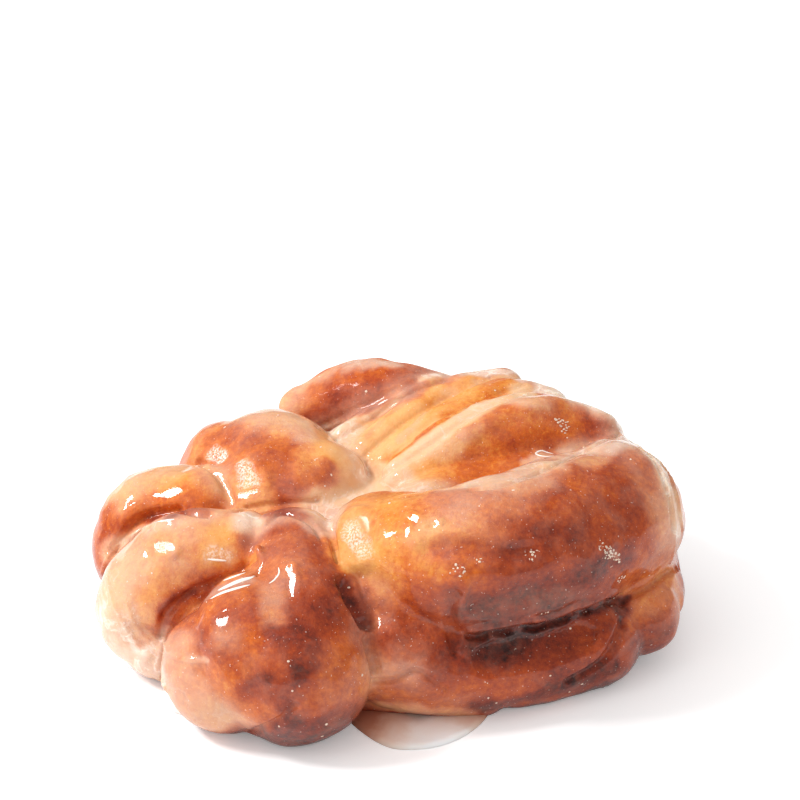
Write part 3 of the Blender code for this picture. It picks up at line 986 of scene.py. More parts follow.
# %% Strokes on the knobs
STROKES |= {
    # Front knob.
    "knob_body": ((12, 0.8, 0, 0), [(240, 640), (285, 640)]),
    "knob_amber": ((3.4, 0.52, 0, 0), [(240, 632), (258, 640)]),
    "knob_right_amber": ((3.6, 0.54, 0.02, 0), [(318, 690), (334, 686)]),
    "knob_rim": ((4, 0.5, 0.04, 0), [(178, 622), (200, 608), (230, 592)]),
    "knob_left": ((6, 0.44, 0.42, 0), [(172, 655), (178, 680)]),
    "knob_low_left": ((8, 0.28, 0.5, 0), [(195, 705), (225, 718)]),
    "knob_low_middle": ((3.6, 0.44, 0.02, 0), [(236, 692), (250, 705), (262, 716)]),
    "knob_low_brown": ((2.8, 0.78, 0, 0), [(246, 688), (256, 694), (268, 700)]),
    "knob_corner": ((3, 0.86, 0, 0), [(334, 717), (346, 717)]),
    "knob_red_low": ((2.6, 0.82, 0, 0), [(306, 636), (316, 644)]),
    "knob_middle": ((6, 0.34, 0.06, 0), [(230, 670), (250, 660)]),
    "knob_haze": ((5, 0.64, 0.04, 0), [(225, 655), (262, 655), (290, 655)]),
    "knob_shade": ((3, 0.9, 0, 0), [(279, 632), (290, 646), (305, 656)]),
    "knob_milky": ((2.6, 0.54, 0.32, 0), [(218, 634), (232, 636)]),
    "knob_red": ((6, 0.8, 0, 0), [(300, 615), (316, 600), (320, 575)]),
    "knob_right": ((7, 0.52, 0.08, 0), [(330, 660), (340, 690)]),
    # Painted shade along the bottom edge of the front knob, by the floor.
    "knob_bottom_shade": ((4, 0.86, 0, 0), [(240, 737), (280, 738), (320, 730)]),
    "knob_spot_a": ((2.4, 1, 0, 0), [(303, 668), (304, 672)]),
    "knob_spot_b": ((3.2, 0.98, 0, 0), [(252, 682), (258, 686)]),
    "knob_spot_c": ((2.4, 0.74, 0.02, 0), [(291, 690), (288, 702)]),
    "knob_line": (
        (0.7, 0.44, 0.48, 0),
        [(166, 630), (165, 645), (172, 654), (186, 660), (204, 662)],
    ),
    "neck": ((6, 0.58, 0.08, 0), [(285, 540), (300, 548)]),
    "neck_low": ((5, 0.44, 0.1, 0), [(270, 575), (305, 575)]),
    "neck_haze": ((3, 0.44, 0.32, 0), [(275, 588), (274, 604), (275, 616)]),
    "neck_haze_low": ((2.4, 0.42, 0.3, 0), [(276, 612), (286, 617)]),
    "neck_milk": ((2.8, 0.78, 0.2, 0), [(250, 545), (258, 535)]),
    "neck_left": ((2.2, 0.68, 0, 0), [(276, 531), (288, 530)]),
    # Left finger.
    "finger_body": ((9, 0.32, 0.42, 0), [(140, 555), (170, 545), (200, 540)]),
    "finger_left": ((8, 0.28, 0.62, 0), [(118, 580), (128, 610)]),
    "finger_end": ((5, 0.12, 0.02, 0), [(222, 540), (240, 550), (228, 560)]),
    # Painted sheen on the finger's end, faint on the gold and full at the tip.
    "finger_gold": ((4, 0.3, 0.1, 0.6), [(205, 560), (222, 558)]),
    "finger_shine": ((2, 0.18, 0.58, 1), [(212, 560), (228, 559)]),
    "finger_under": (
        (3.2, 0.66, 0, 0),
        [(240, 568), (212, 576), (186, 590), (168, 608), (156, 630)],
    ),
    "finger_low": ((7, 0.24, 0.82, 0), [(112, 640), (135, 660)]),
    "finger_top": ((2.4, 0.28, 0.6, 0), [(120, 545), (150, 525), (180, 517), (208, 517)]),
    "finger_corner": ((2, 0.28, 0.54, 0), [(105, 556), (116, 547)]),
    "finger_vein": ((3, 0.3, 0.18, 0), [(170, 580), (150, 600), (142, 620)]),
    "finger_line_a": ((0.6, 0.24, 0.9, 0), [(121, 630), (132, 640), (145, 650), (156, 656)]),
    "finger_line_b": ((0.5, 0.32, 0.56, 0), [(127, 604), (133, 620), (141, 634), (148, 640)]),
    "finger_matte": ((3.2, 0.28, 0.2, 0.45), [(163, 545)]),
    "crease_fill": ((1.6, 0.6, 0.42, 0), [(210, 593), (228, 586), (250, 580)]),
    # Painted shade in the crease between the finger and the front knob.
    "crease_shade": ((1, 0.88, 0, 0), [(158, 616), (166, 606), (178, 598), (190, 592)]),
    "between_milk": ((2, 0.38, 0.78, 0), [(160, 632), (158, 648), (162, 680)]),
    # Left knob.
    "left_knob": ((9, 0.32, 0, 0), [(160, 485), (190, 485)]),
    "left_pale": ((6, 0.2, 0.52, 0), [(135, 485), (165, 472)]),
    "left_dark": ((4, 0.5, 0, 0), [(140, 515), (165, 508), (190, 508)]),
    "left_dark_low": ((1.6, 0.78, 0, 0), [(154, 517), (172, 516)]),
    "left_low": ((2.2, 0.66, 0, 0), [(188, 512), (202, 513)]),
    "left_end": ((5, 0.56, 0, 0), [(108, 530), (100, 555)]),
    "left_gold": ((4, 0.36, 0, 0.1), [(190, 500), (205, 505)]),
    "left_brown": ((4, 0.42, 0.42, 0), [(214, 480), (205, 470)]),
    # Back-left knob.
    "bl_gold": ((8, 0.36, 0.14, 0.3), [(205, 445), (225, 465), (250, 495)]),
    "bl_top": ((6, 0.28, 0.48, 0), [(250, 422), (290, 420), (315, 432)]),
    "bl_left": ((3.5, 0.64, 0, 0.2), [(214, 440), (233, 434), (250, 438)]),
    "bl_right": ((3.5, 0.26, 0.16, 0), [(308, 458), (312, 474)]),
    "bl_brown": ((8, 0.5, 0.04, 0), [(265, 450), (285, 470)]),
    "bl_dark": ((6, 0.76, 0, 0), [(298, 492), (315, 480)]),
    "bl_low": ((3, 0.8, 0, 0), [(290, 494), (306, 491)]),
    # Painted sheen on the back-left knob.
    "bl_shine": ((3.8, 0.25, 0.2, 1), [(243, 470), (254, 482)]),
    "bl_shine_b": ((2.2, 0.3, 0.2, 1), [(214, 452), (222, 457)]),
    "bl_edge": ((3.5, 0.1, 0.04, 0), [(330, 440), (345, 462), (350, 480)]),
    "bl_valley": ((2.8, 0.28, 0.44, 0), [(200, 466), (214, 476), (226, 494)]),
}
print(len(STROKES), "strokes in all")

# %% [markdown]
# ## Painting by strokes
#
# The three values start from rules that hold all round: undersides and outer flanks are darker,
# hollows are milkier. A stroke pulls them towards its own, most at its middle, and only on skin
# that faces as its own place does, so that it stays on its fold. Noise bends the places first, so
# that a stroke ends in a ragged edge. The values are point attributes, not an image, because the
# mesh is fine enough to hold them.

# %% Paint the strokes
NAMES = ("fry_and_shade", "milk", "dry")
START_WEIGHT = 0.03  # how much the starting values count against a stroke
PLAIN_RADIUS = 8.0  # a stroke of this radius, in mm, has the weight 1
SMALL_FIRST = 1.3  # smaller strokes weigh more, by this power
FALL_OFF = 2.0  # how fast a stroke fades; at its radius a seventh is left
SIDE_MARGIN = 0.4  # lets a stroke reach a little round a crown
WARPS = ((9.0, 2.2), (3.0, 0.9))  # width of the noise and how far it bends a stroke, in mm
WARP_SEED = 5
LOW_SKIN = 20.0  # in mm; below this the crust gets darker
FRY_PLAIN, FRY_LOW, FRY_DOWN, FRY_VALLEY = 0.52, 0.18, 0.25, 0.12
MILK_PLAIN, MILK_HOLLOW, MILK_VALLEY, MILK_DOWN = 0.04, 0.25, 0.08, 0.1


def warped(points):
    """The points, pushed about by noise, so that strokes end in ragged edges."""
    noise.seed_set(WARP_SEED)
    moved = points.copy()
    for width, reach in WARPS:
        push = [noise.noise_vector(Vector(p) / (width * MM)) for p in points]
        moved += np.array(push) * reach * MM
    return moved


def starting_values(mesh):
    """What the shape alone says of fry_and_shade, milk and dry."""
    valley, hollow = values_of(mesh, "valley"), values_of(mesh, "hollow")
    low = np.clip(1 - vectors_of(mesh, "co")[:, 2] / (LOW_SKIN * MM), 0, 1)
    down = np.clip(-vectors_of(mesh, "normal")[:, 2], 0, 1)
    fry_and_shade = FRY_PLAIN + FRY_LOW * low + FRY_DOWN * down - FRY_VALLEY * np.clip(valley, 0, 3)
    milk = MILK_PLAIN + MILK_HOLLOW * np.clip(hollow, 0, 1.2)
    milk = milk + MILK_VALLEY * np.clip(valley, -0.5, 2.5) - MILK_DOWN * down
    return {"fry_and_shade": fry_and_shade, "milk": milk, "dry": np.zeros(len(low))}


def paint(mesh, strokes):
    """Blends the strokes by nearness, and the starting values where no stroke reaches."""
    start = starting_values(mesh)
    points, normals = warped(vectors_of(mesh, "co")), vectors_of(mesh, "normal")
    total = np.full(len(points), START_WEIGHT)
    values = {name: start[name] * START_WEIGHT for name in NAMES}
    for (radius, *targets), spots in strokes.values():
        line = route_on_dough(spots)
        facing = np.mean([place_on_dough(spot)[1] for spot in spots], axis=0)
        facing = facing / np.linalg.norm(facing)
        same_side = np.clip(normals @ facing + SIDE_MARGIN, 0, 1)
        gap = distance_to_route(points, line) / (radius * MM)
        weight = np.exp(-FALL_OFF * gap**2) * same_side * (PLAIN_RADIUS / radius) ** SMALL_FIRST
        total += weight
        for name, target in zip(NAMES, targets):
            values[name] += target * weight
    for name in NAMES:
        set_values(mesh, name, np.clip(values[name] / total, 0, 1))


skin_tree = skin_of(dough)
paint(dough.data, STROKES)
for name in NAMES:
    found = values_of(dough.data, name)
    print(name, "is", round(found.mean(), 2), "on average")

# %% [markdown]
# ## The spill of glaze
#
# What ran off the front set as a thin, smooth sheet with a rounded rim. It is a ring mesh: its
# outline is shrunk towards the middle ring by ring, and the height of each ring follows a quarter
# circle near the rim and a slow rise towards the dough. Its underside is flat on the floor. The
# small drips at the lower left are made the same way, so one function makes them all.

# %% Spill and drips, as spots of the picture on the floor
POOL = [
    (343, 712), (352, 724), (364, 734), (378, 743), (394, 749), (416, 750), (438, 747),
    (458, 740), (474, 730), (486, 718), (492, 706), (484, 690), (450, 680), (400, 676),
    (358, 690),
]
POOL_DEPTH = 0.9  # at the rim
POOL_BULGE = 0.5  # how much deeper the middle is, as a share
DRIPS = {
    "drip_a": [(119, 646), (117, 656), (121, 664), (131, 669), (143, 671), (150, 660), (135, 645)],
    "drip_b": [(163, 694), (162, 703), (169, 710), (180, 715), (190, 716), (194, 706), (180, 690)],
}
DRIP_DEPTH = 1.4
DRIP_BULGE = 0.8
RIM = 1.1  # width of the rounded rim
RINGS = 28
OUTLINE_STEP = 2.0


def place_on_floor(spot):
    """Where the line of sight through a spot meets the floor, in metres."""
    line = sight_line(spot)
    return np.array(camera.location + line * (-camera.location.z / line.z))


def closed_outline(spots):
    """Points at close steps round a closed smooth outline on the floor, in millimetres."""
    knots = [np.append(place_on_floor(spot)[:2] / MM, 0.0) for spot in spots]
    line = []
    for i in range(len(knots)):
        around = [knots[(i + k) % len(knots)] for k in (-1, 0, 1, 2)]
        count = max(2, round(np.linalg.norm(around[2] - around[1]) * OUTLINE_STEP))
        line += [catmull_rom(*around, k / count) for k in range(count)]
    return np.array(line)[:, :2]


def sheet_points(outline, depth, bulge):
    """Two middle points, above and below, and then the rings from the inside out."""
    middle = outline.mean(axis=0)
    reach = np.linalg.norm(outline - middle, axis=1).mean()
    shares = np.sin(np.linspace(0, math.pi / 2, RINGS + 1)[1:])
    points = [(*middle, depth * (1 + bulge)), (*middle, 0.0)]
    for share in shares:
        inset = min((1 - share) * reach / RIM, 1)
        height = depth * math.sqrt(1 - (1 - inset) ** 2) * (1 + bulge * (1 - share**2))
        points += [(*(middle + (p - middle) * share), height) for p in outline]
    return [tuple(in_metres(p)) for p in points]


def sheet_faces(count):
    """Fans round the two middle points, and four-sided faces between the rings."""
    last = 2 + (RINGS - 1) * count
    faces = []
    for i in range(count):
        j = (i + 1) % count
        faces.append((0, 2 + i, 2 + j))
        faces.append((1, last + j, last + i))
        for ring in range(RINGS - 1):
            a = 2 + ring * count
            faces.append((a + i, a + count + i, a + count + j, a + j))
    return faces


def is_clockwise(outline):
    """Whether the outline runs clockwise, which would turn the faces inside out."""
    ahead = np.roll(outline, -1, axis=0)
    return (outline[:, 0] * ahead[:, 1] - ahead[:, 0] * outline[:, 1]).sum() < 0


def sheet(name, spots, depth, bulge):
    """A sheet of set glaze with a flat underside, a rounded rim and a slightly raised middle."""
    outline = closed_outline(spots)
    if is_clockwise(outline):
        outline = outline[::-1]
    mesh = bpy.data.meshes.new(name)
    mesh.from_pydata(sheet_points(outline, depth, bulge), [], sheet_faces(len(outline)))
    mesh.shade_smooth()
    return new_object(name, mesh)


pool = sheet("glaze_pool", POOL, POOL_DEPTH, POOL_BULGE)
drips = [sheet(name, spots, DRIP_DEPTH, DRIP_BULGE) for name, spots in DRIPS.items()]
print("pool:", len(pool.data.polygons), "faces, and", len(drips), "drips")

# %% [markdown]
# ## Mottling
#
# Crust and set glaze are both uneven: cloudy at the scale of a fingertip, grainy at the scale of a
# pore, with rare bright specks and thin wandering veins. The glazed dough uses the specks as painted
# glints of sugar. Several materials use it, so it is a shader node group with its widths as inputs,
# built once and placed in each material.


# %% Mottling and helpers for materials
def linear(code):
    """A colour code such as #C86432 as the linear values that a shader takes."""
    parts = [int(code[i : i + 2], 16) / 255 for i in (1, 3, 5)]
    return (*[p / 12.92 if p <= 0.04045 else ((p + 0.055) / 1.055) ** 2.4 for p in parts], 1.0)


def group_mottling():
    """Cloudy and grainy unevenness about zero, rare specks, and thin wandering veins."""
    group = bpy.data.node_groups.new("mottling", "ShaderNodeTree")
    for label, value in (("Cloud Width", 8.0), ("Grain Width", 1.2), ("Speck Width", 0.5)):
        socket = group.interface.new_socket(label, in_out="INPUT", socket_type="NodeSocketFloat")
        socket.default_value = value
    for label in ("Cloud", "Grain", "Speck", "Vein"):
        group.interface.new_socket(label, in_out="OUTPUT", socket_type="NodeSocketFloat")
    given = group.nodes.new("NodeGroupInput")
    where = put(group, "ShaderNodeTexCoord").outputs["Object"]

    def noise_of(width, detail, roughness, distortion=0.0):
        inputs = {
            "Vector": where,
            "Scale": math_node(group, "DIVIDE", 1 / MM, given.outputs[width]),
            "Detail": detail,
            "Roughness": roughness,
            "Distortion": distortion,
        }
        return put(group, "ShaderNodeTexNoise", inputs)

    cloud = math_node(group, "SUBTRACT", noise_of("Cloud Width", 5.0, 0.6, 0.6), 0.5)
    grain = math_node(group, "SUBTRACT", noise_of("Grain Width", 3.0, 0.65), 0.5)
    speck = map_range(group, noise_of("Speck Width", 1.0, 0.5), 0.72, 0.78)
    vein = map_range(group, math_node(group, "ABSOLUTE", cloud), 0.0, 0.03, 1.0, 0.0)
    put(group, "NodeGroupOutput", {"Cloud": cloud, "Grain": grain, "Speck": speck, "Vein": vein})
    return group


mottling = group_mottling()


def mottle(tree, cloud_width, grain_width):
    """Places the mottling in a material, with these widths in millimetres."""
    node = tree.nodes.new("ShaderNodeGroup")
    node.node_tree = mottling
    node.inputs["Cloud Width"].default_value = cloud_width
    node.inputs["Grain Width"].default_value = grain_width
    return node


def blend(tree, spots, cloud, grain):
    """The cloud and the grain of a mottling, each by its share."""
    grains = math_node(tree, "MULTIPLY", spots.outputs["Grain"], grain)
    return math_node(tree, "MULTIPLY_ADD", spots.outputs["Cloud"], cloud, grains)


def mix_colour(tree, share, a, b):
    """A Mix node from colour a to colour b."""
    return put(tree, "ShaderNodeMix", {0: share, 1: a, 2: b}, data_type="RGBA")


def ramp(tree, value, stops):
    """A colour ramp with these (position, colour code) stops."""
    node = put(tree, "ShaderNodeValToRGB", {"Fac": value})
    elements = node.color_ramp.elements
    while len(elements) < len(stops):
        elements.new(0.5)
    for element, (position, code) in zip(elements, stops):
        element.position = position
        element.color = linear(code)
    return node


def new_material(name, finish):
    """A material, its tree and its Principled BSDF, which gets these values."""
    material = bpy.data.materials.new(name)
    material.use_nodes = True
    shader = material.node_tree.nodes["Principled BSDF"]
    for socket, value in finish.items():
        shader.inputs[socket].default_value = value
    return material, material.node_tree, shader


def feed(tree, shader, sources):
    """Links these nodes to the sockets of the shader."""
    for socket, node in sources.items():
        tree.links.new(pick(node.outputs, 0), shader.inputs[socket])


print("group:", mottling.name, "with", len(mottling.nodes), "nodes")

# %% [markdown]
# ## The finish of glazed dough
#
# The look has two layers. Below is crust: a ramp from pale gold to near black, blotchy where it is
# brown, with a little light carried under the surface; some dark strokes in it are painted shade in
# the creases and under the edges. Above is glaze. Where it is thick, it is a milky white mixed over
# the crust. Everywhere it is a clear coat with its own smooth highlights, which is what makes the
# fritter look wet. A Principled BSDF has both, so one material is enough, and the coat keeps the
# mesh's own normals while the crust below takes a bump. Where the skin is dry the coat goes, and a
# painted sheen takes its place: white mixed into the base colour on the higher grains. Rare bright
# specks are painted glints.

# %% Glazed dough
CRUST = [
    (0.00, "#F0B066"),
    (0.20, "#E4943A"),
    (0.40, "#CE6412"),
    (0.60, "#AC420A"),
    (0.80, "#862A08"),
    (1.00, "#380C06"),
]
MILK_COLOUR = "#E2C6AF"
THICK_COLOUR = "#FFF2E4"  # where the glaze lies thickest
# Painted glints: bright specks standing in for sugar crystals that catch the light.
GLINT_COLOUR = "#FFEFE0"
# Painted sheen: the white that stands in for light caught on dry grains.
SHEEN_COLOUR = "#FFF8F0"
BLOTCHES = {"cloud": 0.95, "grain": 0.75}  # what the mottling adds to fry_and_shade
BLOTCH_LEAST, BLOTCH_GAIN, BLOTCH_END = 0.22, 1.3, 1.15
CLOUDING = {"cloud": 0.95, "grain": 0.15}  # what it adds to milk
CLOUDING_SHARE = 0.35
VEIN_SHARE = 0.25
MILK_MOST = 0.92  # a little crust shows through the thickest glaze
THICK_MILK = (0.6, 1.0)
GLINT_SHARE = 0.45
SHEEN_GRAIN = (-0.05, 0.06)  # the painted sheen lies on grains above this
SHEEN_BY_DRY = (0.5, 0.8, 0.0, 0.85)  # from dry 0.5 to 0.8 the painted sheen grows from 0 to 0.85
COAT_BY_DRY = (0.12, 0.45, 1.0, 0.04)
ROUGHNESS_BY_DRY = (0.5, 0.85, 0.7, 0.18)
PORES = {"cloud": 0.5, "grain": 1.0}
PORE_DEPTH = 0.35
PORE_STRENGTH = 0.6
DOUGH_FINISH = {
    "Specular IOR Level": 0.3,
    "Coat Roughness": 0.05,
    "Coat IOR": 1.36,
    "Subsurface Weight": 0.15,
    "Subsurface Radius": (1.0, 0.45, 0.2),
    "Subsurface Scale": 2.5 * MM,
}


def painted(tree, name):
    """A value that is painted on the dough."""
    return put(tree, "ShaderNodeAttribute", attribute_name=name).outputs["Fac"]


def crust_colour(tree, spots):
    """Crust: brown is blotchy, and pale or near black is even."""
    fry_and_shade = painted(tree, "fry_and_shade")
    rest = math_node(tree, "SUBTRACT", BLOTCH_END, fry_and_shade)
    swing = math_node(tree, "MULTIPLY", fry_and_shade, rest)
    swing = math_node(tree, "MULTIPLY_ADD", swing, BLOTCH_GAIN, BLOTCH_LEAST)
    fry_and_shade = math_node(tree, "MULTIPLY_ADD", blend(tree, spots, **BLOTCHES), swing, fry_and_shade)
    return ramp(tree, fry_and_shade, CRUST)


def milkiness(tree):
    """How white the glaze is: even where it is clear, cloudy and veined where it is milky."""
    milk = painted(tree, "milk")
    wave = math_node(tree, "MULTIPLY_ADD", milk, CLOUDING_SHARE, CLOUDING_SHARE)
    clouds = blend(tree, mottle(tree, 6.0, 0.8), **CLOUDING)
    cloudy = math_node(tree, "MULTIPLY_ADD", clouds, wave, milk, use_clamp=True)
    vein = math_node(tree, "MULTIPLY", mottle(tree, 12.0, 0.8).outputs["Vein"], milk)
    veined = math_node(tree, "MULTIPLY_ADD", vein, VEIN_SHARE, cloudy, use_clamp=True)
    return math_node(tree, "MULTIPLY", veined, MILK_MOST)


def painted_sheen(tree, colour, fine):
    """Painted sheen over a colour: white on the higher grains of dry skin."""
    grains = map_range(tree, fine.outputs["Grain"], *SHEEN_GRAIN)
    share = math_node(tree, "MULTIPLY", grains, map_range(tree, painted(tree, "dry"), *SHEEN_BY_DRY))
    return mix_colour(tree, share, colour, linear(SHEEN_COLOUR))


def material_glazed_dough():
    """Crust under clear and milky glaze."""
    material, tree, shader = new_material("glazed_dough", DOUGH_FINISH)
    spots, fine = mottle(tree, 8.0, 1.1), mottle(tree, 2.2, 0.42)
    milk = milkiness(tree)
    thick = map_range(tree, milk, *THICK_MILK)
    white = mix_colour(tree, thick, linear(MILK_COLOUR), linear(THICK_COLOUR))
    milky = mix_colour(tree, milk, crust_colour(tree, spots), white)
    # Painted glints: the rare specks of the mottling, whitened.
    speck = math_node(tree, "MULTIPLY", spots.outputs["Speck"], GLINT_SHARE)
    speckled = mix_colour(tree, speck, milky, linear(GLINT_COLOUR))
    dry = painted(tree, "dry")
    pores = {"Strength": PORE_STRENGTH, "Distance": PORE_DEPTH * MM, "Height": blend(tree, fine, **PORES)}
    sources = {
        "Base Color": painted_sheen(tree, speckled, fine),
        "Coat Weight": map_range(tree, dry, *COAT_BY_DRY),
        "Roughness": map_range(tree, dry, *ROUGHNESS_BY_DRY),
        "Normal": put(tree, "ShaderNodeBump", pores),
    }
    feed(tree, shader, sources)
    return material


glazed_dough = material_glazed_dough()
dough.data.materials.clear()
dough.data.materials.append(glazed_dough)
print("glazed dough:", len(glazed_dough.node_tree.nodes), "nodes")

# %% [markdown]
# ## Set glaze
#
# The spill is the same glaze with nothing behind it, so it is paler and lets light through. It is
# palest at its thin front edge and browner close to the dough. The colour follows the distance from
# one place on the floor, read in Object coordinates, so it stays with the piece.

# %% Set glaze, palest at a spot of the floor and brownest at a reach from it, in mm
GLAZE = [
    (0.00, "#FFFCFA"),
    (0.27, "#F8EEE8"),
    (0.38, "#EBD5C8"),
    (0.53, "#E0BCA8"),
    (0.66, "#C4866C"),
    (0.92, "#A4624A"),
]
POOL_PALE = ((438, 744), 22)
DRIP_PALE = ((140, 670), 60)
GLAZE_CLOUDING = 0.25
GLAZE_FINISH = {
    "Roughness": 0.12,
    "IOR": 1.45,
    "Subsurface Weight": 0.5,
    "Subsurface Radius": (1.0, 0.8, 0.7),
    "Subsurface Scale": 1.5 * MM,
}


def material_set_glaze(name, pale_spot, reach):
    """Set glaze, palest at this spot of the floor."""
    material, tree, shader = new_material(name, GLAZE_FINISH)
    where = put(tree, "ShaderNodeTexCoord").outputs["Object"]
    out = vector_node(tree, "DISTANCE", where, tuple(place_on_floor(pale_spot)))
    near = map_range(tree, pick(out.outputs, "Value"), 0.0, reach * MM)
    cloud = mottle(tree, 6.0, 0.9).outputs["Cloud"]
    share = math_node(tree, "MULTIPLY_ADD", cloud, GLAZE_CLOUDING, near, use_clamp=True)
    feed(tree, shader, {"Base Color": ramp(tree, share, GLAZE)})
    return material


pool.data.materials.append(material_set_glaze("set_glaze", *POOL_PALE))
drip_glaze = material_set_glaze("drip_glaze", *DRIP_PALE)
for drip in drips:
    drip.data.materials.append(drip_glaze)
print("set glaze:", len(GLAZE), "colours from", GLAZE[0][1], "to", GLAZE[-1][1])

# %% [markdown]
# ## Runs of glaze
#
# Where glaze ran off and set it left thin raised threads: in the crease between two knobs, along
# the rim of a knob, round a burst bubble. Their near-white colour is partly painted reflection: it
# stands in for the lines of light that the streaks in the crease catch. Each is a poly spline that
# lies on the skin, thickest in the middle. One geometry tree sweeps a circle along them all, as for
# the rolls. The rim of the spill is one more thread, which lies on the sheet of glaze. A thread may
# not bridge two folds, so the longest step of each is printed.

# %% Runs, as the girth radius in mm and spots of the picture
RUNS = {
    "streak_a": (0.75, [(216, 591), (228, 586), (240, 581), (256, 576)]),
    "streak_b": (0.5, [(208, 600), (222, 593), (238, 588), (252, 584)]),
    "streak_c": (0.4, [(222, 581), (236, 576), (247, 572)]),
    "neck_loop": (0.25, [(268, 584), (274, 580), (279, 573), (278, 566)]),
    "finger_end_line": (0.28, [(206, 559), (216, 560), (228, 561)]),
    "finger_rim": (0.28, [(152, 523), (162, 521), (176, 519)]),
}
BUBBLE = (0.30, 1.9, (545, 454))  # girth and radius in mm of the ring, and its middle
BUBBLE_STEPS = 32
POOL_RIM = (
    0.4,
    [(364, 714), (378, 710), (400, 711), (420, 715), (440, 717), (460, 714), (478, 712)],
)
RIM_HEIGHT = 1.2  # where the rim thread lies, as a share of the sheet's depth
SUNK_SHARE = 0.5  # how deep the middle line of a thread lies, as a share of its girth
TIP_SHARE = 0.25  # girth at the ends of a thread, as a share of its greatest
WHITE_FINISH = {
    "Subsurface Weight": 0.3,
    "Subsurface Radius": (1.0, 0.8, 0.6),
    "Subsurface Scale": 0.5 * MM,
}


def normal_near(place):
    """The normal of the dough next to a place."""
    return np.array(skin_tree.find_nearest(Vector(place))[1])


def ring_on_dough(radius, spot):
    """A level circle round a place, laid down on the dough."""
    middle, _ = place_on_dough(spot)
    line = []
    for k in range(BUBBLE_STEPS + 1):
        angle = 2 * math.pi * k / BUBBLE_STEPS
        level = middle + Vector((math.cos(angle), math.sin(angle), 0)) * radius * MM
        line.append(np.array(skin_tree.find_nearest(level)[0]))
    return line


def longest_step(line):
    """The longest step between neighbours on a line, in millimetres."""
    return np.linalg.norm(np.diff(line, axis=0), axis=1).max() / MM


def thread(line, girth):
    """Stations of a thread along these places, thinner towards both ends."""
    stations = []
    for k, place in enumerate(line):
        swell = max(math.sin(math.pi * k / (len(line) - 1)), 0) ** 0.5
        stations.append((*place / MM, girth * (TIP_SHARE + (1 - TIP_SHARE) * swell)))
    return stations


def threads_on_dough(runs, bubble):
    """The threads that lie half sunk in the skin."""
    lines = [(girth, route_on_dough(spots)) for girth, spots in runs.values()]
    girth, radius, spot = bubble
    lines.append((girth, ring_on_dough(radius, spot)))
    print("longest steps in the runs:", [round(longest_step(line), 1) for _, line in lines], "mm")
    threads = []
    for girth, line in lines:
        depth = SUNK_SHARE * girth * MM
        threads.append(thread([place - depth * normal_near(place) for place in line], girth))
    return threads


def thread_on_pool(girth, spots):
    """The thread that lies on the spill."""
    line = smooth_line([place_on_floor(spot) / MM for spot in spots], ROUTE_STEP)
    height = POOL_DEPTH * RIM_HEIGHT
    return thread([np.array((x, y, height)) * MM for x, y, _ in line], girth)


def tree_draw_threads():
    """Sweeps a circle along every spline."""
    sockets = [("Threads", "Object", None), ("Sides", "Int", 8), ("Finish", "Material", None)]
    tree, given = geometry_tree("draw_threads", sockets)
    splines = object_shape(tree, given.outputs["Threads"])
    shape = sweep_circle(tree, splines, given.outputs["Sides"])
    shape = put(tree, "GeometryNodeSetShadeSmooth", {"Geometry": shape})
    return finish_tree(tree, shape, given.outputs["Finish"])


def material_white(name, colour, roughness):
    """White sugar, faintly mottled: the finish of crystals, and of threads, whose white also stands in
    for their reflections.
    """
    material, tree, shader = new_material(name, {"Roughness": roughness, **WHITE_FINISH})
    cloud = mottle(tree, 3.0, 0.5).outputs["Cloud"]
    share = math_node(tree, "MULTIPLY_ADD", cloud, 0.8, 0.2, use_clamp=True)
    mixed = mix_colour(tree, share, linear(colour), linear(MILK_COLOUR))
    feed(tree, shader, {"Base Color": mixed})
    return material


threads = new_object("glaze_threads", bpy.data.meshes.new("glaze_threads"))
splines = curve_object("threads", [*threads_on_dough(RUNS, BUBBLE), thread_on_pool(*POOL_RIM)])
# Near-white, partly as painted reflection of the streaks.
white_glaze = material_white("white_glaze", "#FFFAF2", 0.15)
add_tree(threads, tree_draw_threads(), threads=splines, sides=10, finish=white_glaze)
apply_modifiers(threads)
bpy.data.objects.remove(splines)
print("threads:", len(threads.data.polygons), "faces")

# %% [markdown]
# ## Sugar on the crust
#
# Sugar that didn't dissolve sits on the crust as tiny flat crystals, some in clusters and the
# rest far apart. A geometry tree strews them. The density is a painted value on the dough, so the
# same scatter gives both the clusters and the few in between, and it stays the same on every run
# because its seed is fixed.

# %% Sugar, as the radius of a cluster in mm and spots of the picture
SUGAR_CLUSTERS = {
    "sugar_a": (1.5, [(604, 547), (611, 553), (616, 560)]),
    "sugar_b": (1.2, [(560, 422), (565, 430)]),
    "sugar_c": (1, [(530, 556), (536, 553)]),
    "sugar_d": (1, [(457, 570), (464, 568)]),
    "sugar_e": (0.8, [(618, 582), (624, 577)]),
    "sugar_f": (0.8, [(480, 560)]),
}
SUGAR_EVERYWHERE = 0.0015  # the density between clusters, as a share of that inside
SUGAR_DENSITY = 3.6e6  # crystals on a square metre
SUGAR_SMALLEST = (0.10, 0.10, 0.05)  # radii in millimetres
SUGAR_LARGEST = (0.40, 0.36, 0.16)
SUGAR_SEED = 5


def sugar_share(mesh, clusters):
    """Writes how densely the sugar lies at each point."""
    points = vectors_of(mesh, "co")
    share = np.full(len(points), SUGAR_EVERYWHERE)
    for radius, spots in clusters.values():
        gap = distance_to_route(points, route_on_dough(spots)) / (radius * MM)
        share = np.maximum(share, np.exp(-FALL_OFF * gap**2))
    set_values(mesh, "sugar", share)


